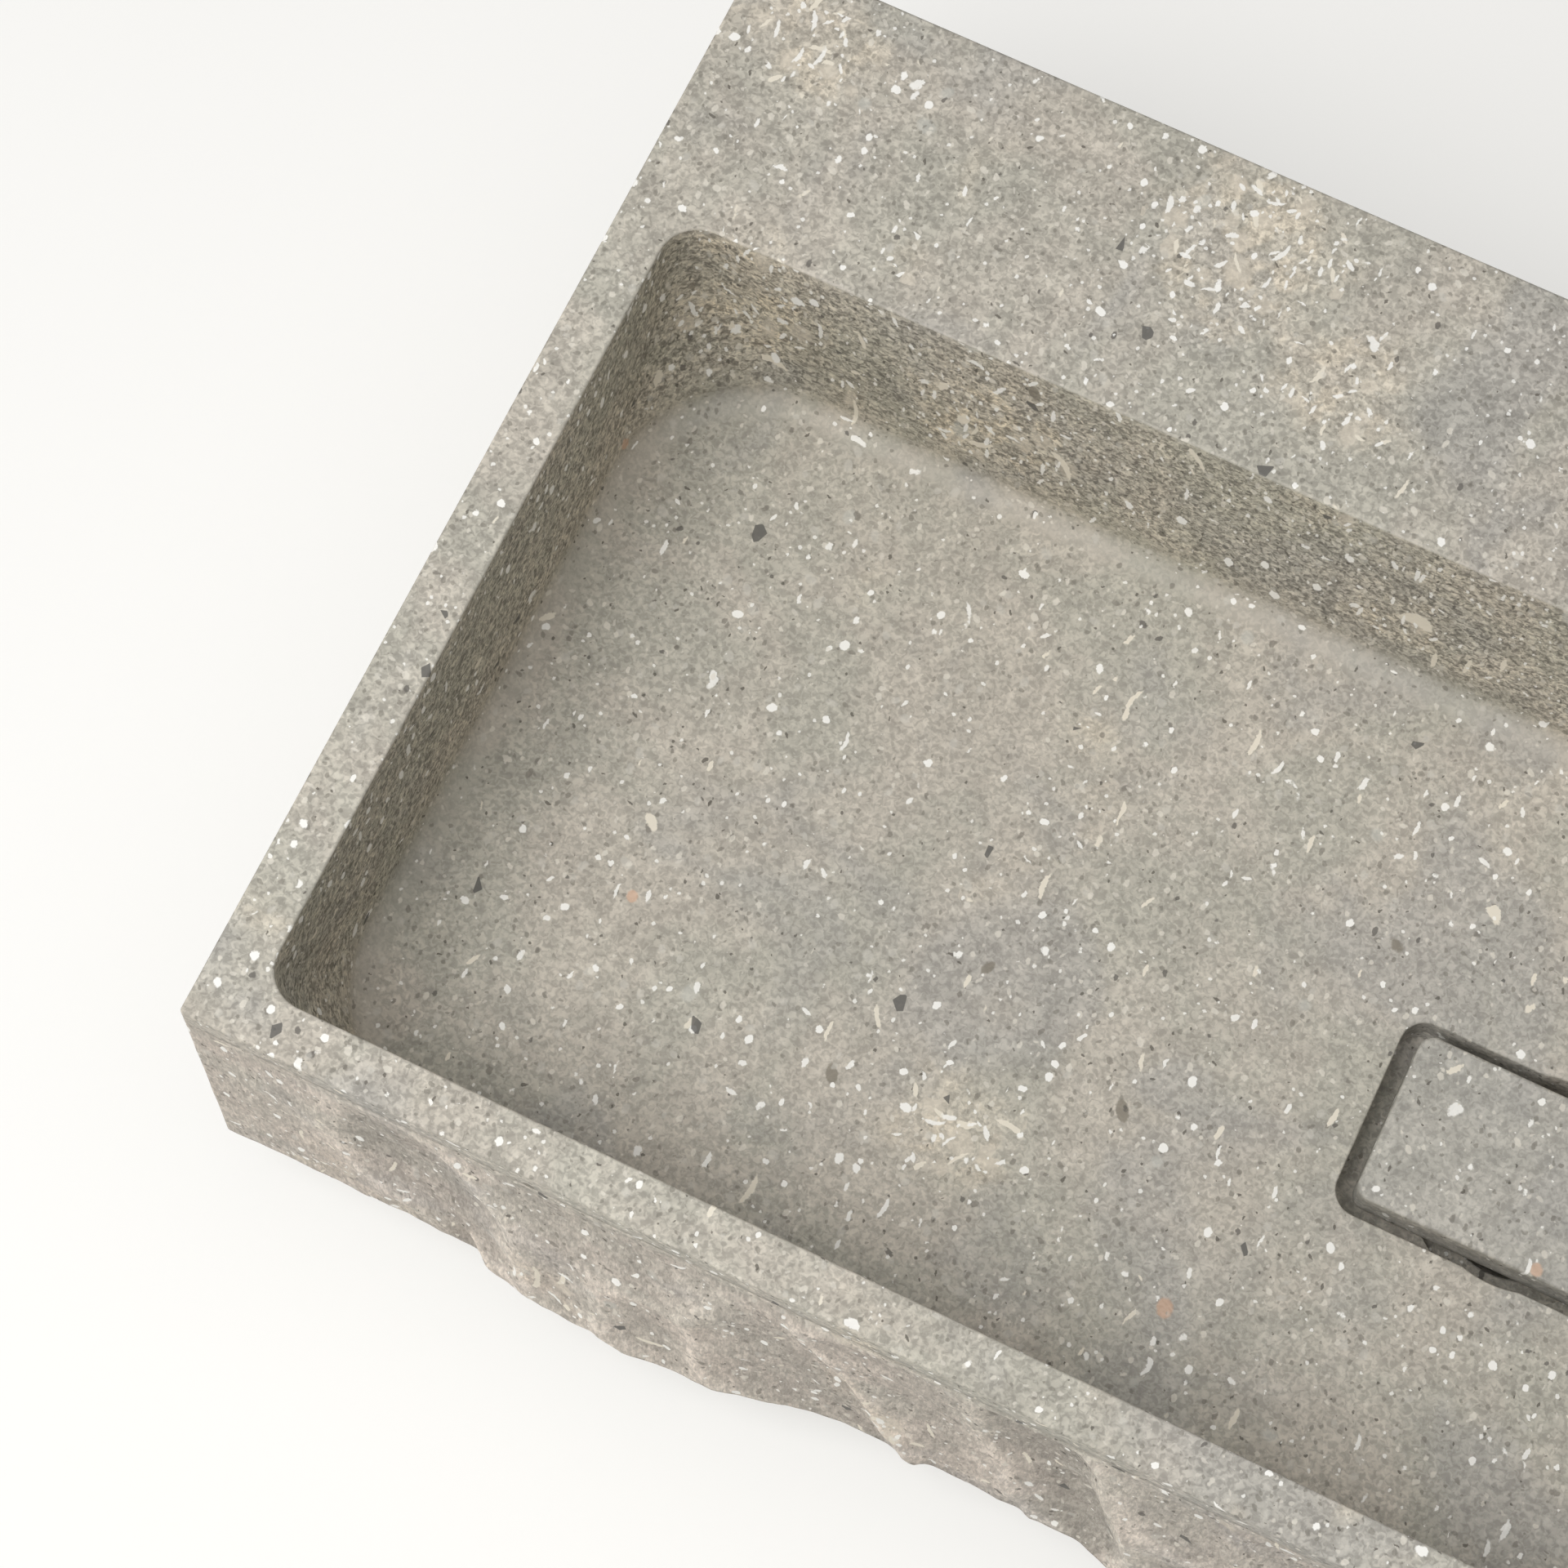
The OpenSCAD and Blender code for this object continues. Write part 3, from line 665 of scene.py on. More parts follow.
def make_cover():
    """The loose stone plate: eased and slightly chipped edges, four holes for its feet."""
    patches = Patchwork()
    half_l = (cover_high.x - cover_low.x) / 2
    half_w = (cover_high.y - cover_low.y) / 2
    loop = rounded_loop(half_l, half_w, COVER_R, 8, 120, 70)
    loop[:, 1] += DRAIN_Y
    distance = along(loop)
    ease = edge_ease(distance, COVER_EASE, 41)
    worn = np.clip(-loop[:, 2], 0, 1)                 # the left edge has the most chips
    ragged = np.clip(rough_line(distance, 0.0018, 45), 0, 1) * 0.8 * MM
    ease = np.minimum(ease + worn * ragged, 3.2 * MM)
    ease[-1] = ease[0]
    top_rows = eased_rows(loop, ease, cover_high.z)
    rows = list(top_rows)
    side_top, side_foot = top_rows[-1][:, 2], cover_low.z + 0.6 * MM
    for share in (0.25, 0.5, 0.75):
        rows.append(np.column_stack([loop[:, :2], mix(side_top, side_foot, share)]))
    for inset, lift in ((0, 0.6), (0.18, 0.18), (0.6, 0)):
        xy = loop[:, :2] - loop[:, 2:] * inset * MM
        rows.append(np.column_stack([xy, np.full(len(loop), cover_low.z + lift * MM)]))
    patches.grid(rows, closed=True)
    patches.flat(top_rows[0][:, :2], [], lambda u, v: (u, v, cover_high.z))
    turn = turns(32)
    roof = cover_low.z + COVER_HOLE_DEPTH
    holes = []
    for sx in (-1, 1):
        for sy in (-1, 1):
            centre = np.array([sx * COVER_FOOT_X, DRAIN_Y + sy * COVER_FOOT_Y])
            hole = centre + COVER_HOLE_R * np.column_stack([np.cos(turn), np.sin(turn)])
            patches.grid([[(*p, z) for p in hole] for z in (cover_low.z, roof)], closed=True)
            patches.flat(hole, [], lambda u, v: (u, v, roof))
            holes.append(hole)
    patches.flat(rows[-1][:, :2], holes, lambda u, v: (u, v, cover_low.z))
    return patches.build("cover_plate")


# ---------- materials ----------

def srgb(red, green, blue):
    """Linear colour from the 0 to 255 values that it shows on screen."""
    return tuple(c / 255 / 12.92 if c < 11 else ((c / 255 + 0.055) / 1.055) ** 2.4
                 for c in (red, green, blue)) + (1.0,)


def new_material(name):
    material = bpy.data.materials.new(name)
    material.use_nodes = True
    nodes = material.node_tree.nodes
    return material, Graph(material.node_tree), nodes["Principled BSDF"]


def grains(g, place, spacing, half_size, share, bend=0.0, soft=0.12, shift=0.0):
    """Mask of separate grains, one in some cells of a 3-D pattern, each turned its own way.

    Sizes are in millimetres. Grains are ellipsoids of the given half sizes, and bend curls flat
    ones like a shell. share is the part of the cells that holds one, a value or a socket.
    """
    moved = g.vector("ADD", place, (shift, shift * 1.7, shift * 0.6))
    cells = g.node("ShaderNodeTexVoronoi", {"Vector": moved, "Scale": 1 / spacing,
                                            "Randomness": 0.8})
    own = g.vector("SUBTRACT", moved, cells.outputs["Position"])
    turn = g.vector("SCALE", cells.outputs["Color"], scale=TAU)
    turned = g.node("ShaderNodeVectorRotate", {"Vector": own, "Rotation": turn},
                    rotation_type="EULER_XYZ")
    at = turned.outputs[0]
    if bend:
        x, y, z = g.axes(at)
        z = g.line(g.times(x, x), bend, z)
        at = g.join(x, y, g.math("ADD", z, -bend * half_size[0] ** 2 / 3))
    rand = g.node("ShaderNodeSeparateColor", {0: cells.outputs["Color"]})
    size = g.fade(rand.outputs[1], 0.0, 1.0, 1.5, 0.95)
    scaled = g.vector("MULTIPLY", at, tuple(1 / s for s in half_size))
    reach = g.times(g.vector("LENGTH", scaled), size)
    inside = g.fade(reach, 1 + soft, 1 - soft)
    chosen = g.math("LESS_THAN", rand.outputs[0], share)
    return g.times(inside, chosen)


# middles of the beds of broken shell that show in the photograph, and how far each reaches
SHELL_BEDS = (
    ((-0.234, -0.033, 0.060), 0.034),
    ((-0.185, -0.068, 0.060), 0.022),
    ((-0.407, -0.030, 0.060), 0.018),
    ((-0.300, -0.114, 0.006), 0.032),
    ((-0.395, -0.118, 0.010), 0.026),
    ((-0.402, -0.122, 0.050), 0.016),
    ((-0.200, -0.352, -0.052), 0.020),
)


class StoneBase:
    """What the layers of one stone material share: its marks, and places in millimetres.

    On the split face, the grain is drawn out downwards from the sawn line, and on the sawn walls
    the shells stand more upright.
    """

    def __init__(self, g):
        finish, self.relief, self.coarse = (
            g.node("ShaderNodeAttribute", attribute_name=mark).outputs["Fac"]
            for mark in ("finish", "relief", "coarse"))
        self.split = g.math("MAXIMUM", finish, 0.0)
        # pale where rubbed by cleaning, and where a highlight is painted on the eased edges and the
        # fillet
        self.rubbed_and_highlit = g.math("MAXIMUM", g.times(finish, -1.0), 0.0)
        self.place = g.object_place()
        x, y, self.height = g.axes(self.place)
        below = g.times(g.math("SUBTRACT", self.height, (TOP - FASCIA_H) / MM), self.split)
        self.drawn, longer = (g.join(x, y, g.line(below, -by, self.height)) for by in (0.40, 0.64))
        jitter = g.noise(self.drawn, 1.7, 2, 0.6, output="Color")
        jitter = g.vector("SUBTRACT", jitter, (0.5, 0.5, 0.5))
        self.ragged = g.shift(longer, jitter)
        above_floor = g.math("SUBTRACT", self.height, (DRAIN_TOP + FLOOR_FALL + FILLET) / MM)
        upright = g.join(0, 0, g.times(g.times(above_floor, self.coarse), -0.45))
        self.torn = g.shift(g.shift(self.drawn, upright), g.vector("SCALE", jitter, scale=1.5))
        self.waver = g.noise(self.place, 17, 3, 0.6)
        self.lumps = g.noise(self.ragged, 2.2, 2, 0.5, 0.8)
        self.crumbs = g.noise(g.shift(self.drawn, (9, 5, 2)), 6.0, 3, 0.55, 0.4)


def shell_beds(g, stone, beds):
    """How thick the shells lie: 0 outside the beds, up to 1 in them."""
    most = 0.8 if beds else 0
    bed = g.fade(g.noise(g.shift(stone.place, (35, 10, 70)), 70, 2, 0.5, 0.2), 0.60, 0.74, 0, most)
    for centre, reach in beds:
        away = g.vector("LENGTH", g.vector("SUBTRACT", stone.place, tuple(c / MM for c in centre)))
        away = g.line(stone.waver, 36, away)
        bed = g.math("MAXIMUM", bed, g.fade(away, reach / MM + 30, reach / MM + 6))
    return bed


def stone_ground(g, stone, bed, green, warm, smoky):
    """Tones that drift over a hand's width, creamy where shells lie thick."""
    drift = g.fade(g.noise(stone.place, 62, 4, 0.6, 0.5), 0.38, 0.62)
    colour = g.blend(drift, green, warm)
    smoke = g.fade(g.noise(g.shift(stone.place, (400, 90, 20)), 80, 3, 0.55, 0.6), 0.50, 0.66)
    colour = g.blend(g.times(smoke, 0.6), colour, smoky)
    blots = g.fade(g.noise(g.shift(stone.place, (5, 60, 3)), 13, 2, 0.5, 0.4), 0.48, 0.62)
    creamy = g.times(g.line(blots, 0.6, 0.35), bed)
    colour = g.blend(g.times(creamy, 0.8), colour, srgb(206, 195, 176))
    # painted warm tint of shade on the sawn inner walls
    colour = g.blend(g.times(stone.coarse, 0.5), colour, (1.0, 0.98, 0.90, 1), how="MULTIPLY")
    return g.blend(stone.split, colour, (1.0, 0.965, 0.98, 1), how="MULTIPLY")


def stone_grain(g, stone, bed, lift):
    """How light the grain is, about 1: mottled, broken on the split face, with a painted highlight
    on its ridges and painted shade in its hollows, and pale where rubbed and where a highlight is
    painted.
    """
    # pale lumps about two millimetres wide, with faint seams between them, in larger drifts; a
    # split face breaks round the grains and shows less of them
    clouds = g.noise(g.shift(stone.drawn, (2, 7, 3)), 17, 2, 0.5, 0.3)
    place = g.shift(stone.ragged, (3, 8, 4))
    cells = g.node("ShaderNodeTexVoronoi", {"Vector": place, "Scale": 1 / 2.8})
    seams = g.fade(cells.outputs["Distance"], 0.25, 0.85, 1.02, 0.95)
    tone = g.times(g.fade(stone.lumps, 0.34, 0.66, 1.03 - 0.24 * lift, 1.03 + 0.20 * lift), seams)
    tone = g.times(tone, g.fade(stone.crumbs, 0.34, 0.66, 0.91, 1.10))
    tone = g.times(tone, g.fade(clouds, 0.34, 0.66, 0.95, 1.05))
    contrast = g.line(stone.split, -0.25, 1.0)
    tone = g.line(g.math("SUBTRACT", tone, 1.0), contrast, 1.0)
    # on the split face, broken grain; its ridges are bruised pale and painted lighter as a
    # highlight, and its hollows are painted darker as shade
    slanted = g.node("ShaderNodeMapping", {"Vector": stone.ragged, "Rotation": (0, 0.5, 0),
                                           "Scale": (0.6, 0.6, 0.27)})
    streaks = g.fade(g.noise(slanted.outputs[0], 0.9, 3, 0.65, 1.2), 0.36, 0.64, -0.08, 0.27)
    tone = g.times(tone, g.line(streaks, stone.split, 1.0))
    # painted highlight on the ridges, painted shade in the hollows
    tone = g.times(tone, g.line(stone.relief, 0.26, 1.0))
    # dark clefts between the grains on the sawn walls, and fainter ones in the beds
    clefts = g.noise(g.shift(stone.ragged, (21, 4, 17)), 2.7, 3, 0.65, 0.9)
    clefts = g.fade(clefts, 0.36, 0.60, -0.50, 0.28)
    tone = g.times(tone, g.line(clefts, g.math("MAXIMUM", stone.coarse, g.times(bed, 0.4)), 1.0))
    # lightens where rubbed and where a highlight is painted
    return g.line(g.math("SUBTRACT", 1.07, tone), g.times(stone.rubbed_and_highlit, 0.5), tone)


def scattered(g, stone, colour, bed, rich):
    """The colour with all that lies in the ground, each kind scattered by its own pattern.

    rich is how many shells there are outside the beds, about 1.
    """
    pale, cream = srgb(245, 243, 237), srgb(231, 223, 206)
    slivers = g.line(bed, 0.25, g.times(rich, 0.13))
    inclusions = (
        # spacing, half sizes, share of cells, bend, tone, strength
        (26, (5.0, 3.8, 3.4), 0.16, 0.0, srgb(196, 196, 188), 0.45),
        (34, (6.0, 3.4, 3.0), 0.14, 0.0, srgb(124, 117, 104), 0.8),
        (40, (4.0, 3.2, 3.0), 0.16, 0.0, srgb(214, 172, 142), 0.6),
        (3.2, (1.4, 0.9, 0.8), g.times(rich, 0.22), 0.0, srgb(112, 108, 98), 0.55),
        (5.5, (2.1, 1.2, 1.0), g.times(rich, 0.16), 0.0, srgb(108, 103, 94), 0.6),
        (4.6, (1.5, 0.65, 0.55), g.times(rich, 0.26), 0.0, srgb(84, 79, 71), 0.8),
        (8, (2.0, 1.2, 1.0), 0.10, 0.0, srgb(90, 86, 81), 0.8),
        (4.0, (1.8, 0.8, 0.7), g.times(rich, 0.22), 0.0, srgb(218, 212, 200), 0.55),
        (7, (2.6, 1.9, 1.5), 0.30, 0.0, srgb(206, 202, 192), 0.45),
        (13, (6.2, 5.0, 4.6), g.times(bed, 0.7), 0.0, srgb(216, 206, 189), 0.5),
        (12, (8.2, 3.2, 1.1), g.line(bed, 0.90, 0.08), 0.03, cream, 0.9),
        (10, (6.4, 2.4, 0.95), g.line(bed, 0.90, 0.03), 0.04, pale, 0.85),
        (8, (4.6, 2.2, 0.85), g.line(bed, 0.75, 0.07), 0.06, pale, 0.85),
        (6.0, (2.8, 1.0, 0.9), slivers, 0.0, pale, 0.85),
        (5.0, (1.9, 1.3, 1.1), g.times(rich, 0.15), 0.0, srgb(224, 218, 205), 0.65),
        (3.2, (0.9, 0.75, 0.7), g.times(rich, 0.11), 0.0, pale, 0.75),
        (7, (2.2, 1.7, 1.5), 0.14, 0.0, pale, 0.95),
    )
    for i, (spacing, half, share, bend, shade, strength) in enumerate(inclusions):
        soft = 0.36 - 0.25 * strength
        mask = grains(g, stone.torn, spacing, half, share, bend, soft, shift=13.7 * i)
        colour = g.blend(g.times(mask, strength), colour, shade)
    # dark angular grains: a few whole cells of a fine pattern, shrunk from their edges
    place = g.shift(g.vector("MULTIPLY", stone.drawn, (1.0, 0.8, 1.1)), (77, 31, 5))
    pattern = {"Vector": place, "Scale": 1 / 4.6}
    cell = g.node("ShaderNodeTexVoronoi", pattern)
    gap = g.node("ShaderNodeTexVoronoi", pattern, feature="DISTANCE_TO_EDGE")
    pick = g.node("ShaderNodeSeparateColor", {0: cell.outputs["Color"]})
    shard = g.times(g.fade(gap.outputs["Distance"], 0.10, 0.15),
                    g.math("LESS_THAN", pick.outputs[0], 0.003))
    return g.blend(g.times(shard, 0.9), colour, srgb(92, 90, 86))


def limestone(name, green, warm, smoky, grain_lift=1.0, beds=SHELL_BEDS):
    """Grey limestone full of shell: drifting tones, mottled grain, flecks and dark grains."""
    material, g, shader = new_material(name)
    stone = StoneBase(g)
    bed = shell_beds(g, stone, beds)
    ground = stone_ground(g, stone, bed, green, warm, smoky)
    colour = g.vector("SCALE", ground, scale=stone_grain(g, stone, bed, grain_lift))
    # the upper layers of the block are the richest in shell, and the sawn walls show more of it
    rich = g.fade(g.line(stone.waver, 30, stone.height), -35, 5, 0.9, 1.3) if beds else 0.9
    rich = g.line(stone.coarse, 0.6, rich)
    g.tree.links.new(scattered(g, stone, colour, bed, rich), shader.inputs["Base Color"])
    rugged = g.math("MAXIMUM", stone.split, stone.coarse)
    rough = g.line(rugged, 0.14, g.fade(stone.lumps, 0.3, 0.7, 0.62, 0.74), clamp=True)
    g.tree.links.new(rough, shader.inputs["Roughness"])
    shader.inputs["IOR"].default_value = 1.45
    pits = g.math("ADD", stone.lumps, g.times(stone.crumbs, 0.7))
    bump = g.node("ShaderNodeBump", {"Height": pits, "Distance": 0.06 * MM,
                                     "Strength": g.line(rugged, 0.55, 0.35)})
    g.tree.links.new(bump.outputs[0], shader.inputs["Normal"])
    return material


def darkened(colour, by):
    return tuple(c * by for c in colour[:3]) + (1.0,)


def moulded(name, colour, roughness):
    """Rubber or plastic with slight unevenness in its tone and its gloss."""
    material, g, shader = new_material(name)
    cloud = g.noise(g.object_place(), 6, 3)
    g.tree.links.new(g.blend(cloud, darkened(colour, 0.82), colour), shader.inputs["Base Color"])
    rough = g.fade(cloud, 0.3, 0.7, roughness * 0.85, roughness * 1.15)
    g.tree.links.new(rough, shader.inputs["Roughness"])
    return material


def turned_metal(name, colour, roughness, axis, centre):
    """Metal with the fine rings that a lathe leaves round an axis ("Y" or "Z") through centre."""
    material, g, shader = new_material(name)
    place = g.vector("SUBTRACT", g.node("ShaderNodeTexCoord").outputs["Object"], centre)
    place = g.vector("SCALE", place, scale=1 / MM)
    along_axis = (0, 1, 0) if axis == "Y" else (0, 0, 1)
    across = (1, 0, 1) if axis == "Y" else (1, 1, 0)
    out = g.vector("LENGTH", g.vector("MULTIPLY", place, across))
    run = g.vector("DOT_PRODUCT", place, along_axis)
    rings = g.noise(g.join(g.times(out, 6), g.times(run, 6), 0.5), 1, 4, 0.7)
    stain = g.noise(place, 5, 3, 0.55)
    stained = g.blend(g.fade(stain, 0.35, 0.7, 0.0, 0.6), colour, darkened(colour, 0.7))
    g.tree.links.new(stained, shader.inputs["Base Color"])
    rough = g.line(g.fade(stain, 0.3, 0.7), roughness * 0.5, roughness * 0.75)
    g.tree.links.new(rough, shader.inputs["Roughness"])
    shader.inputs["Metallic"].default_value = 1.0
    bump = g.node("ShaderNodeBump", {"Height": rings, "Distance": 0.02 * MM, "Strength": 0.35})
    g.tree.links.new(bump.outputs[0], shader.inputs["Normal"])
    return material


def set_material(piece, material):
    piece.data.materials.clear()
    piece.data.materials.append(material)


# ---------- the turned metal pieces ----------

WASTE_THREAD_R = 20.95 * MM          # G 1 1/4: crests, depth and pitch
WASTE_THREAD_DEPTH = 1.47 * MM
WASTE_PITCH = 2.309 * MM
WASTE_THREAD_TOP = BOTTOM + 0.008    # it ends inside the bore
NUT_CORE_R = WASTE_THREAD_R - WASTE_THREAD_DEPTH + 0.12 * MM
NUT_THREAD_DEPTH = WASTE_THREAD_DEPTH - 0.07 * MM
SLEEVE_CORE_R = 5.05 * MM            # M12
SLEEVE_THREAD_DEPTH = 0.95 * MM
SLEEVE_PITCH = 1.75 * MM
SCREW_THREAD_R = 3.0 * MM            # M6
SCREW_THREAD_DEPTH = 0.6 * MM
SCREW_PITCH = 1.0 * MM
SCREW_CLEARANCE = 0.05 * MM
STEPS_PER_TURN = 8                   # rings of points in one pitch of a thread
WASTE_SEGMENTS, SLEEVE_SEGMENTS, SCREW_SEGMENTS = 96, 48, 32

THREAD_INPUTS = {
    "Blank": "NodeSocketGeometry", "Radius": "NodeSocketFloat", "Pitch": "NodeSocketFloat",
    "Depth": "NodeSocketFloat", "Lag": "NodeSocketFloat", "Low": "NodeSocketFloat",
    "High": "NodeSocketFloat", "Copies": "NodeSocketInt", "First Place": "NodeSocketVector",
    "Step": "NodeSocketVector", "Turn": "NodeSocketVector", "Material": "NodeSocketMaterial",
}


def make_thread_tree():
    """Cuts a thread into a blank turned about Z, and sets out copies of it in a row.

    Points at Radius between Low and High move by up to Depth: outwards, or inwards below 0. Lag
    turns the thread by a share of a turn.
    """
    tree = bpy.data.node_groups.new("cut_thread", "GeometryNodeTree")
    for name, kind in THREAD_INPUTS.items():
        tree.interface.new_socket(name, in_out="INPUT", socket_type=kind)
    tree.interface.new_socket("Piece", in_out="OUTPUT", socket_type="NodeSocketGeometry")
    g = Graph(tree)
    given = g.node("NodeGroupInput").outputs
    spot = g.node("GeometryNodeInputPosition").outputs[0]
    x, y, z = g.axes(spot)
    flat = g.vector("MULTIPLY", spot, (1, 1, 0))
    turn = g.line(g.math("ARCTAN2", y, x), 1 / TAU, given["Lag"])
    phase = g.math("FRACT", g.math("SUBTRACT", g.math("DIVIDE", z, given["Pitch"]), turn))
    to_crest = g.math("ABSOLUTE", g.line(phase, 2, -1))
    groove = g.line(to_crest, -1 / 0.75, 0.875 / 0.75, clamp=True)
    start = g.fade(z, given["Low"], g.math("ADD", given["Low"], given["Pitch"]))
    stop = g.fade(z, given["High"], g.math("SUBTRACT", given["High"], given["Pitch"]))
    cut = g.times(g.times(groove, given["Depth"]), g.times(start, stop))
    on_wall = g.math("COMPARE", g.vector("LENGTH", flat), given["Radius"], 0.02 * MM)
    threaded = g.node("GeometryNodeSetPosition", {
        "Geometry": given["Blank"], "Selection": on_wall,
        "Offset": g.vector("SCALE", g.vector("NORMALIZE", flat), scale=cut)})
    spots = g.node("GeometryNodeMeshLine", {
        "Count": given["Copies"], "Start Location": given["First Place"], "Offset": given["Step"]})
    copies = g.node("GeometryNodeInstanceOnPoints", {
        "Points": spots.outputs[0], "Instance": threaded.outputs[0], "Rotation": given["Turn"]})
    solid = g.node("GeometryNodeRealizeInstances", {0: copies.outputs[0]})
    painted = g.node("GeometryNodeSetMaterial", {
        "Geometry": solid.outputs[0], "Material": given["Material"]})
    g.node("NodeGroupOutput", {0: painted.outputs[0]})
    return tree


def threaded(name, blank, tree, **values):
    """The plain mesh that the tree makes of a blank, as a new object."""
    modifier = blank.modifiers.new("cut_thread", "NODES")
    modifier.node_group = tree
    sockets = {s.name: s.identifier for s in tree.interface.items_tree if s.in_out == "INPUT"}
    for key, value in values.items():
        modifier[sockets[key.replace("_", " ")]] = value
    piece = settled(name, blank)
    piece.data.set_sharp_from_angle(angle=math.radians(35))
    return piece


def turned_ring(r, z, segments):
    """Points of a ring round the Z axis; r is one radius, or one for each point."""
    turn = turns(segments)
    return np.column_stack([r * np.cos(turn), r * np.sin(turn), np.full(segments, z)])


def heights(start, stop, step):
    """Heights from start to stop in even steps of about the given size."""
    return np.linspace(start, stop, 1 + max(1, round(abs(stop - start) / step)))


def waste_blank():
    """Flange with a seat for the strainer, barrel, and the bridge across it."""
    bore_r, rim_r, lip = 0.018, 0.032, 0.8 * MM
    end, flange, top = waste_low.z, SUMP + 1.5 * MM, waste_high.z
    seat, seat_r = strainer_low.z, 26.3 * MM
    groove = 0.5 * MM
    groove_r, groove_z = WASTE_THREAD_R - groove, nut_low.z - 3 * MM
    step = WASTE_PITCH / STEPS_PER_TURN
    profile = [(bore_r, end), (WASTE_THREAD_R - MM, end)]
    profile += [(WASTE_THREAD_R, z) for z in heights(end + MM, groove_z, step)]
    profile += [(groove_r, groove_z + groove), (groove_r, groove_z + 2 * groove)]
    profile += [(WASTE_THREAD_R, z) for z in heights(groove_z + 3 * groove, WASTE_THREAD_TOP, step)]
    profile += [(WASTE_THREAD_R, flange), (rim_r - lip, flange), (rim_r, flange + lip),
                (rim_r, top - lip), (rim_r - lip, top), (seat_r, top), (seat_r, seat),
                (bore_r, seat), (bore_r, end)]
    patches = Patchwork()
    patches.grid([turned_ring(r, z, WASTE_SEGMENTS) for r, z in profile], closed=True)
    # the bridge: a bar with a boss that takes the screw
    half_w, reach, boss_r = 3.5 * MM, 18.9 * MM, 6 * MM
    high, low = seat - 10 * MM, seat - 16 * MM
    inner = math.acos(half_w / boss_r)
    arc = [math.pi / 2 + mix(-inner, inner, i / 16) for i in range(17)]
    upper = [(boss_r * math.cos(a), boss_r * math.sin(a)) for a in arc]
    outline = [(reach, -half_w), (reach, half_w), *upper, (-reach, half_w), (-reach, -half_w)]
    outline += [(-x, -y) for x, y in upper]
    hole = turned_ring(SCREW_THREAD_R + SCREW_CLEARANCE, 0, 48)[:, :2]
    for loop in (outline, hole):
        patches.grid([[(*p, z) for p in loop] for z in (low, high)], closed=True)
    for z in (low, high):
        patches.flat(outline, [hole], lambda u, v, z=z: (u, v, z))
    return patches.build("waste_blank")


def nut_blank():
    """Hexagon nut whose corners are turned off at both ends."""
    flat_r, chamfer = 26 * MM, 1.6 * MM
    hexagon = flat_r / np.cos(turns(WASTE_SEGMENTS) % (TAU / 6) - TAU / 12)
    corner_r, height = flat_r / math.cos(TAU / 12), nut_high.z - nut_low.z
    rows = []
    for z in (*heights(0, chamfer, chamfer / 8), *heights(height - chamfer, height, chamfer / 8)):
        from_end = min(z, height - z) / chamfer
        turned_r = mix(corner_r - 2 * MM, corner_r + 0.5 * MM, from_end)
        rows.append(turned_ring(np.minimum(hexagon, turned_r), nut_low.z + z, WASTE_SEGMENTS))
    for z in heights(nut_high.z, nut_low.z, WASTE_PITCH / STEPS_PER_TURN):
        rows.append(turned_ring(NUT_CORE_R, z, WASTE_SEGMENTS))
    patches = Patchwork()
    patches.grid([*rows, rows[0]], closed=True)
    return patches.build("nut_blank")


def sleeve_blank():
    """Sleeve with two turned grooves that key it into the resin."""
    r, groove, groove_w = SLEEVE_R, 0.8 * MM, 12 * MM
    length = sleeve_high.y - sleeve_low.y
    profile = [(r, 0)]
    for start in (14 * MM, 36 * MM):
        profile += [(r, start), (r - groove, start + MM), (r - groove, start + groove_w - MM),
                    (r, start + groove_w)]
    profile.append((r, length))
    profile += [(SLEEVE_CORE_R, z) for z in heights(length, 0, SLEEVE_PITCH / STEPS_PER_TURN)]
    profile.append((r, 0))
    patches = Patchwork()
    patches.grid([turned_ring(radius, z, SLEEVE_SEGMENTS) for radius, z in profile], closed=True)
    return patches.build("sleeve_blank")


def screw_blank():
    """Raised head with a slot, and its shank, which hangs from 0."""
    head_r, head_h, chamfer = 5 * MM, screw_high.z - strainer_high.z, 0.6 * MM
    end = screw_low.z - strainer_high.z
    middle_r = 0.02 * MM                 # the two ends close on a tiny face
    profile = [(middle_r, end), (SCREW_THREAD_R - chamfer, end)]
    shank = heights(end + chamfer, 0, SCREW_PITCH / STEPS_PER_TURN)
    profile += [(SCREW_THREAD_R, z) for z in shank]
    profile += [(head_r, 0), (head_r, 0.7 * MM), (head_r - 1.2 * MM, head_h - 0.4 * MM),
                (head_r - 2.6 * MM, head_h), (middle_r, head_h)]
    patches = Patchwork()
    rows = [turned_ring(r, z, SCREW_SEGMENTS) for r, z in profile]
    patches.grid(rows, closed=True)
    for row in (rows[0], rows[-1]):
        patches.add(row, [tuple(range(SCREW_SEGMENTS))], flat=True)
    blank = patches.build("screw_blank")
    cutter = Patchwork()
    reach, half_w = 6 * MM, 0.6 * MM
    corners = [(-reach, -half_w), (reach, -half_w), (reach, half_w), (-reach, half_w)]
    floor, roof = head_h - MM, head_h + MM
    cutter.grid([[(*p, z) for p in corners] for z in (floor, roof)], closed=True)
    for z in (floor, roof):
        cutter.flat(corners, [], lambda u, v, z=z: (u, v, z))
    slot = cutter.build("slot_cutter")
    boolean = blank.modifiers.new("slot", "BOOLEAN")
    boolean.object = slot
    slotted = settled("screw_blank", blank)
    bpy.data.objects.remove(slot)
    return slotted


# ---------- the object ----------

basin = make_stone_basin()
set_material(basin, limestone("fossil_limestone", srgb(173, 169, 157), srgb(182, 175, 163),
                              srgb(161, 158, 152)))
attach(basin, "basin")
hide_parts("stone_basin")

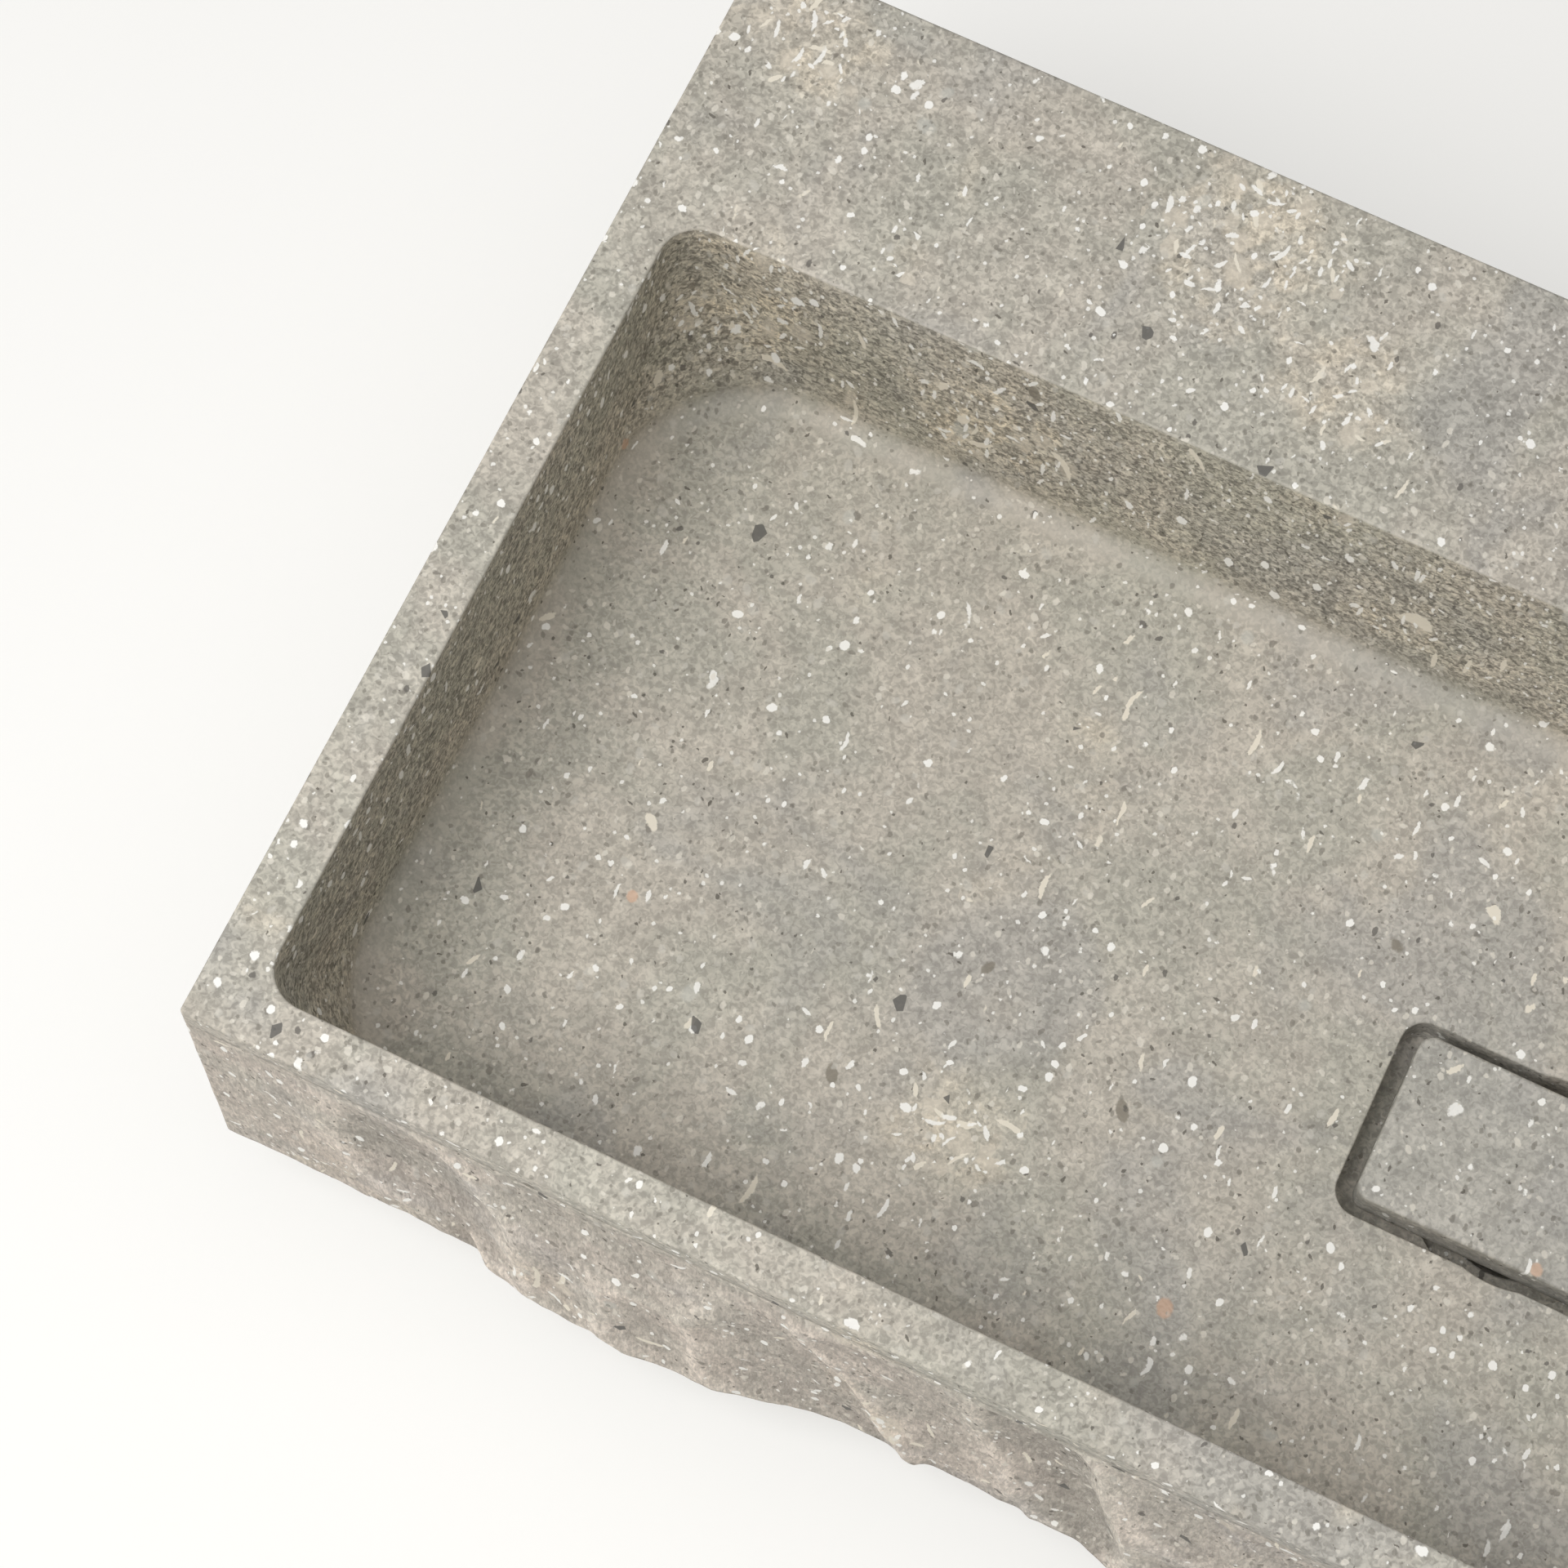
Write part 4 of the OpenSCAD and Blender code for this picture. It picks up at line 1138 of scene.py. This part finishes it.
cover = make_cover()
set_material(cover, limestone("cover_limestone", srgb(169, 166, 157), srgb(175, 171, 162),
                              srgb(163, 160, 154), grain_lift=0.75, beds=()))
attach(cover, "cover")
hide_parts("drain_cover")

drain_axis = (0, DRAIN_Y, 0)
plating = turned_metal("plated_brass", srgb(206, 208, 210), 0.14, "Z", drain_axis)
raw_brass = turned_metal("plain_brass", srgb(206, 166, 92), 0.30, "Z", drain_axis)
disc_steel = turned_metal("turned_steel", srgb(196, 197, 198), 0.32, "Z", drain_axis)
sleeve_steel = turned_metal("sleeve_steel", srgb(188, 189, 190), 0.34, "Y", (0, 0, 0))

thread_tree = make_thread_tree()
on_drain = {"Copies": 1, "First_Place": drain_axis, "Step": (0, 0, 0), "Turn": (0, 0, 0)}
waste = threaded("waste_fitting", waste_blank(), thread_tree, Radius=WASTE_THREAD_R,
                 Pitch=WASTE_PITCH, Depth=-WASTE_THREAD_DEPTH, Lag=0.0,
                 Low=waste_low.z + 0.5 * MM, High=WASTE_THREAD_TOP, Material=plating, **on_drain)
nut = threaded("back_nut_brass", nut_blank(), thread_tree, Radius=NUT_CORE_R, Pitch=WASTE_PITCH,
               Depth=NUT_THREAD_DEPTH, Lag=0.5, Low=nut_low.z - WASTE_PITCH,
               High=nut_high.z + WASTE_PITCH, Material=raw_brass, **on_drain)
screw = threaded("slotted_screw", screw_blank(), thread_tree, Radius=SCREW_THREAD_R,
                 Pitch=SCREW_PITCH, Depth=-SCREW_THREAD_DEPTH, Lag=0.0,
                 Low=screw_low.z - strainer_high.z, High=-2 * MM, Material=disc_steel, Copies=1,
                 First_Place=(0, DRAIN_Y, strainer_high.z), Step=(0, 0, 0), Turn=(0, 0, 0))
sleeves = threaded("threaded_sleeves", sleeve_blank(), thread_tree, Radius=SLEEVE_CORE_R,
                   Pitch=SLEEVE_PITCH, Depth=SLEEVE_THREAD_DEPTH, Lag=0.0, Low=-SLEEVE_PITCH / 2,
                   High=sleeve_high.y - sleeve_low.y + SLEEVE_PITCH, Material=sleeve_steel,
                   Copies=2, First_Place=(-SLEEVE_X, 0, 0), Step=(2 * SLEEVE_X, 0, 0),
                   Turn=(math.pi / 2, 0, 0))
for piece, node, slot in ((waste, "waste_body", "plated_brass"), (nut, "back_nut", "plain_brass"),
                          (screw, "strainer_screw", "steel"), (sleeves, "wall_sleeves", "steel")):
    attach(piece, "basin")
    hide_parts(node)

for node, slot, material in (
        ("strainer_plate", "steel", disc_steel),
        ("cover_feet", "rubber", moulded("black_rubber", srgb(44, 44, 44), 0.65)),
        ("flange_seal", "rubber", moulded("seal_rubber", srgb(50, 50, 49), 0.6)),
        ("stone_gasket", "rubber", moulded("gasket_rubber", srgb(40, 40, 40), 0.7)),
        ("slip_washer", "nylon", moulded("white_nylon", srgb(226, 222, 208), 0.5))):
    set_material(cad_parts[node], material)

# ---------- floor, light and camera ----------

FLOOR_Z = BOTTOM - 0.055             # the waste's end clears it
FLOOR_HALF = 12.0
PAPER_WHITE = srgb(251, 250, 247)
WORLD_LIGHT = 0.26

# the photograph's camera, solved from the straight edges of the sink
CAMERA_PLACE = (-0.1199, -0.7436, 1.4622)
CAMERA_RIGHT = Vector((0.90158, 0.43202, 0.02275))
CAMERA_UP = Vector((-0.41533, 0.84963, 0.325))
CAMERA_LENS, CAMERA_SENSOR = 97.5, 36


def looks_at_background(g):
    """1 for rays from the camera, off gloss and through glass, which see the plain background."""
    path = g.node("ShaderNodeLightPath").outputs
    return g.math("MAXIMUM", g.math("MAXIMUM", path["Is Camera Ray"], path["Is Glossy Ray"]),
                  path["Is Transmission Ray"])


def make_floor():
    mesh = bpy.data.meshes.new("studio_floor")
    signs = ((-1, -1), (1, -1), (1, 1), (-1, 1))
    corners = [(FLOOR_HALF * x, FLOOR_HALF * y, FLOOR_Z) for x, y in signs]
    mesh.from_pydata(corners, [], [(0, 1, 2, 3)])
    floor = add_object("studio_floor", mesh)
    material, g, shader = new_material("white_floor")
    seen = looks_at_background(g)
    # half of what is seen is its own light, which thins the shadow, and far away all of it is
    away = g.vector("LENGTH", g.node("ShaderNodeTexCoord").outputs["Object"])
    glow = g.times(seen, g.fade(away, 1.0, 4.5, 0.5, 1.0))
    dimmed = g.blend(glow, PAPER_WHITE, (0, 0, 0, 1))
    g.tree.links.new(g.blend(seen, srgb(228, 227, 224), dimmed), shader.inputs["Base Color"])
    shader.inputs["Emission Color"].default_value = PAPER_WHITE
    g.tree.links.new(glow, shader.inputs["Emission Strength"])
    shader.inputs["Roughness"].default_value = 0.9
    shader.inputs["Specular IOR Level"].default_value = 0.0
    floor.data.materials.append(material)


def make_lamp(name, place, target, size, power):
    data = bpy.data.lights.new(name, "AREA")
    data.shape = "DISK"
    data.size = size
    data.energy = power
    lamp = add_object(name, data)
    lamp.location = place
    lamp.rotation_mode = "QUATERNION"
    lamp.rotation_quaternion = (Vector(target) - Vector(place)).to_track_quat("-Z", "Y")


def make_world():
    """Even light from all round, which is seen as white as the floor."""
    world = bpy.data.worlds.new("studio")
    world.use_nodes = True
    g = Graph(world.node_tree)
    background = world.node_tree.nodes["Background"]
    light = (WORLD_LIGHT, WORLD_LIGHT, WORLD_LIGHT, 1)
    lit = g.blend(looks_at_background(g), light, PAPER_WHITE)
    g.tree.links.new(lit, background.inputs["Color"])
    bpy.context.scene.world = world


def make_camera():
    """Looks down on the left half of the trough, as the photograph does."""
    data = bpy.data.cameras.new("camera")
    data.lens = CAMERA_LENS
    data.sensor_width = CAMERA_SENSOR
    camera = add_object("camera", data)
    turned = Matrix((CAMERA_RIGHT, CAMERA_UP, CAMERA_RIGHT.cross(CAMERA_UP))).transposed()
    camera.matrix_world = Matrix.Translation(CAMERA_PLACE) @ turned.to_4x4()
    bpy.context.scene.camera = camera


make_floor()
make_lamp("key", (-0.90, -1.15, 1.90), (-0.1, -0.25, 0), 1.3, 32)
make_lamp("side_fill", (-2.0, -1.7, 0.7), (-0.1, -0.4, 0), 1.0, 10)
make_lamp("overhead", (0.2, -0.5, 2.6), (0, -0.25, 0), 2.4, 15)
make_world()
make_camera()
bpy.context.scene.view_settings.view_transform = "Standard"
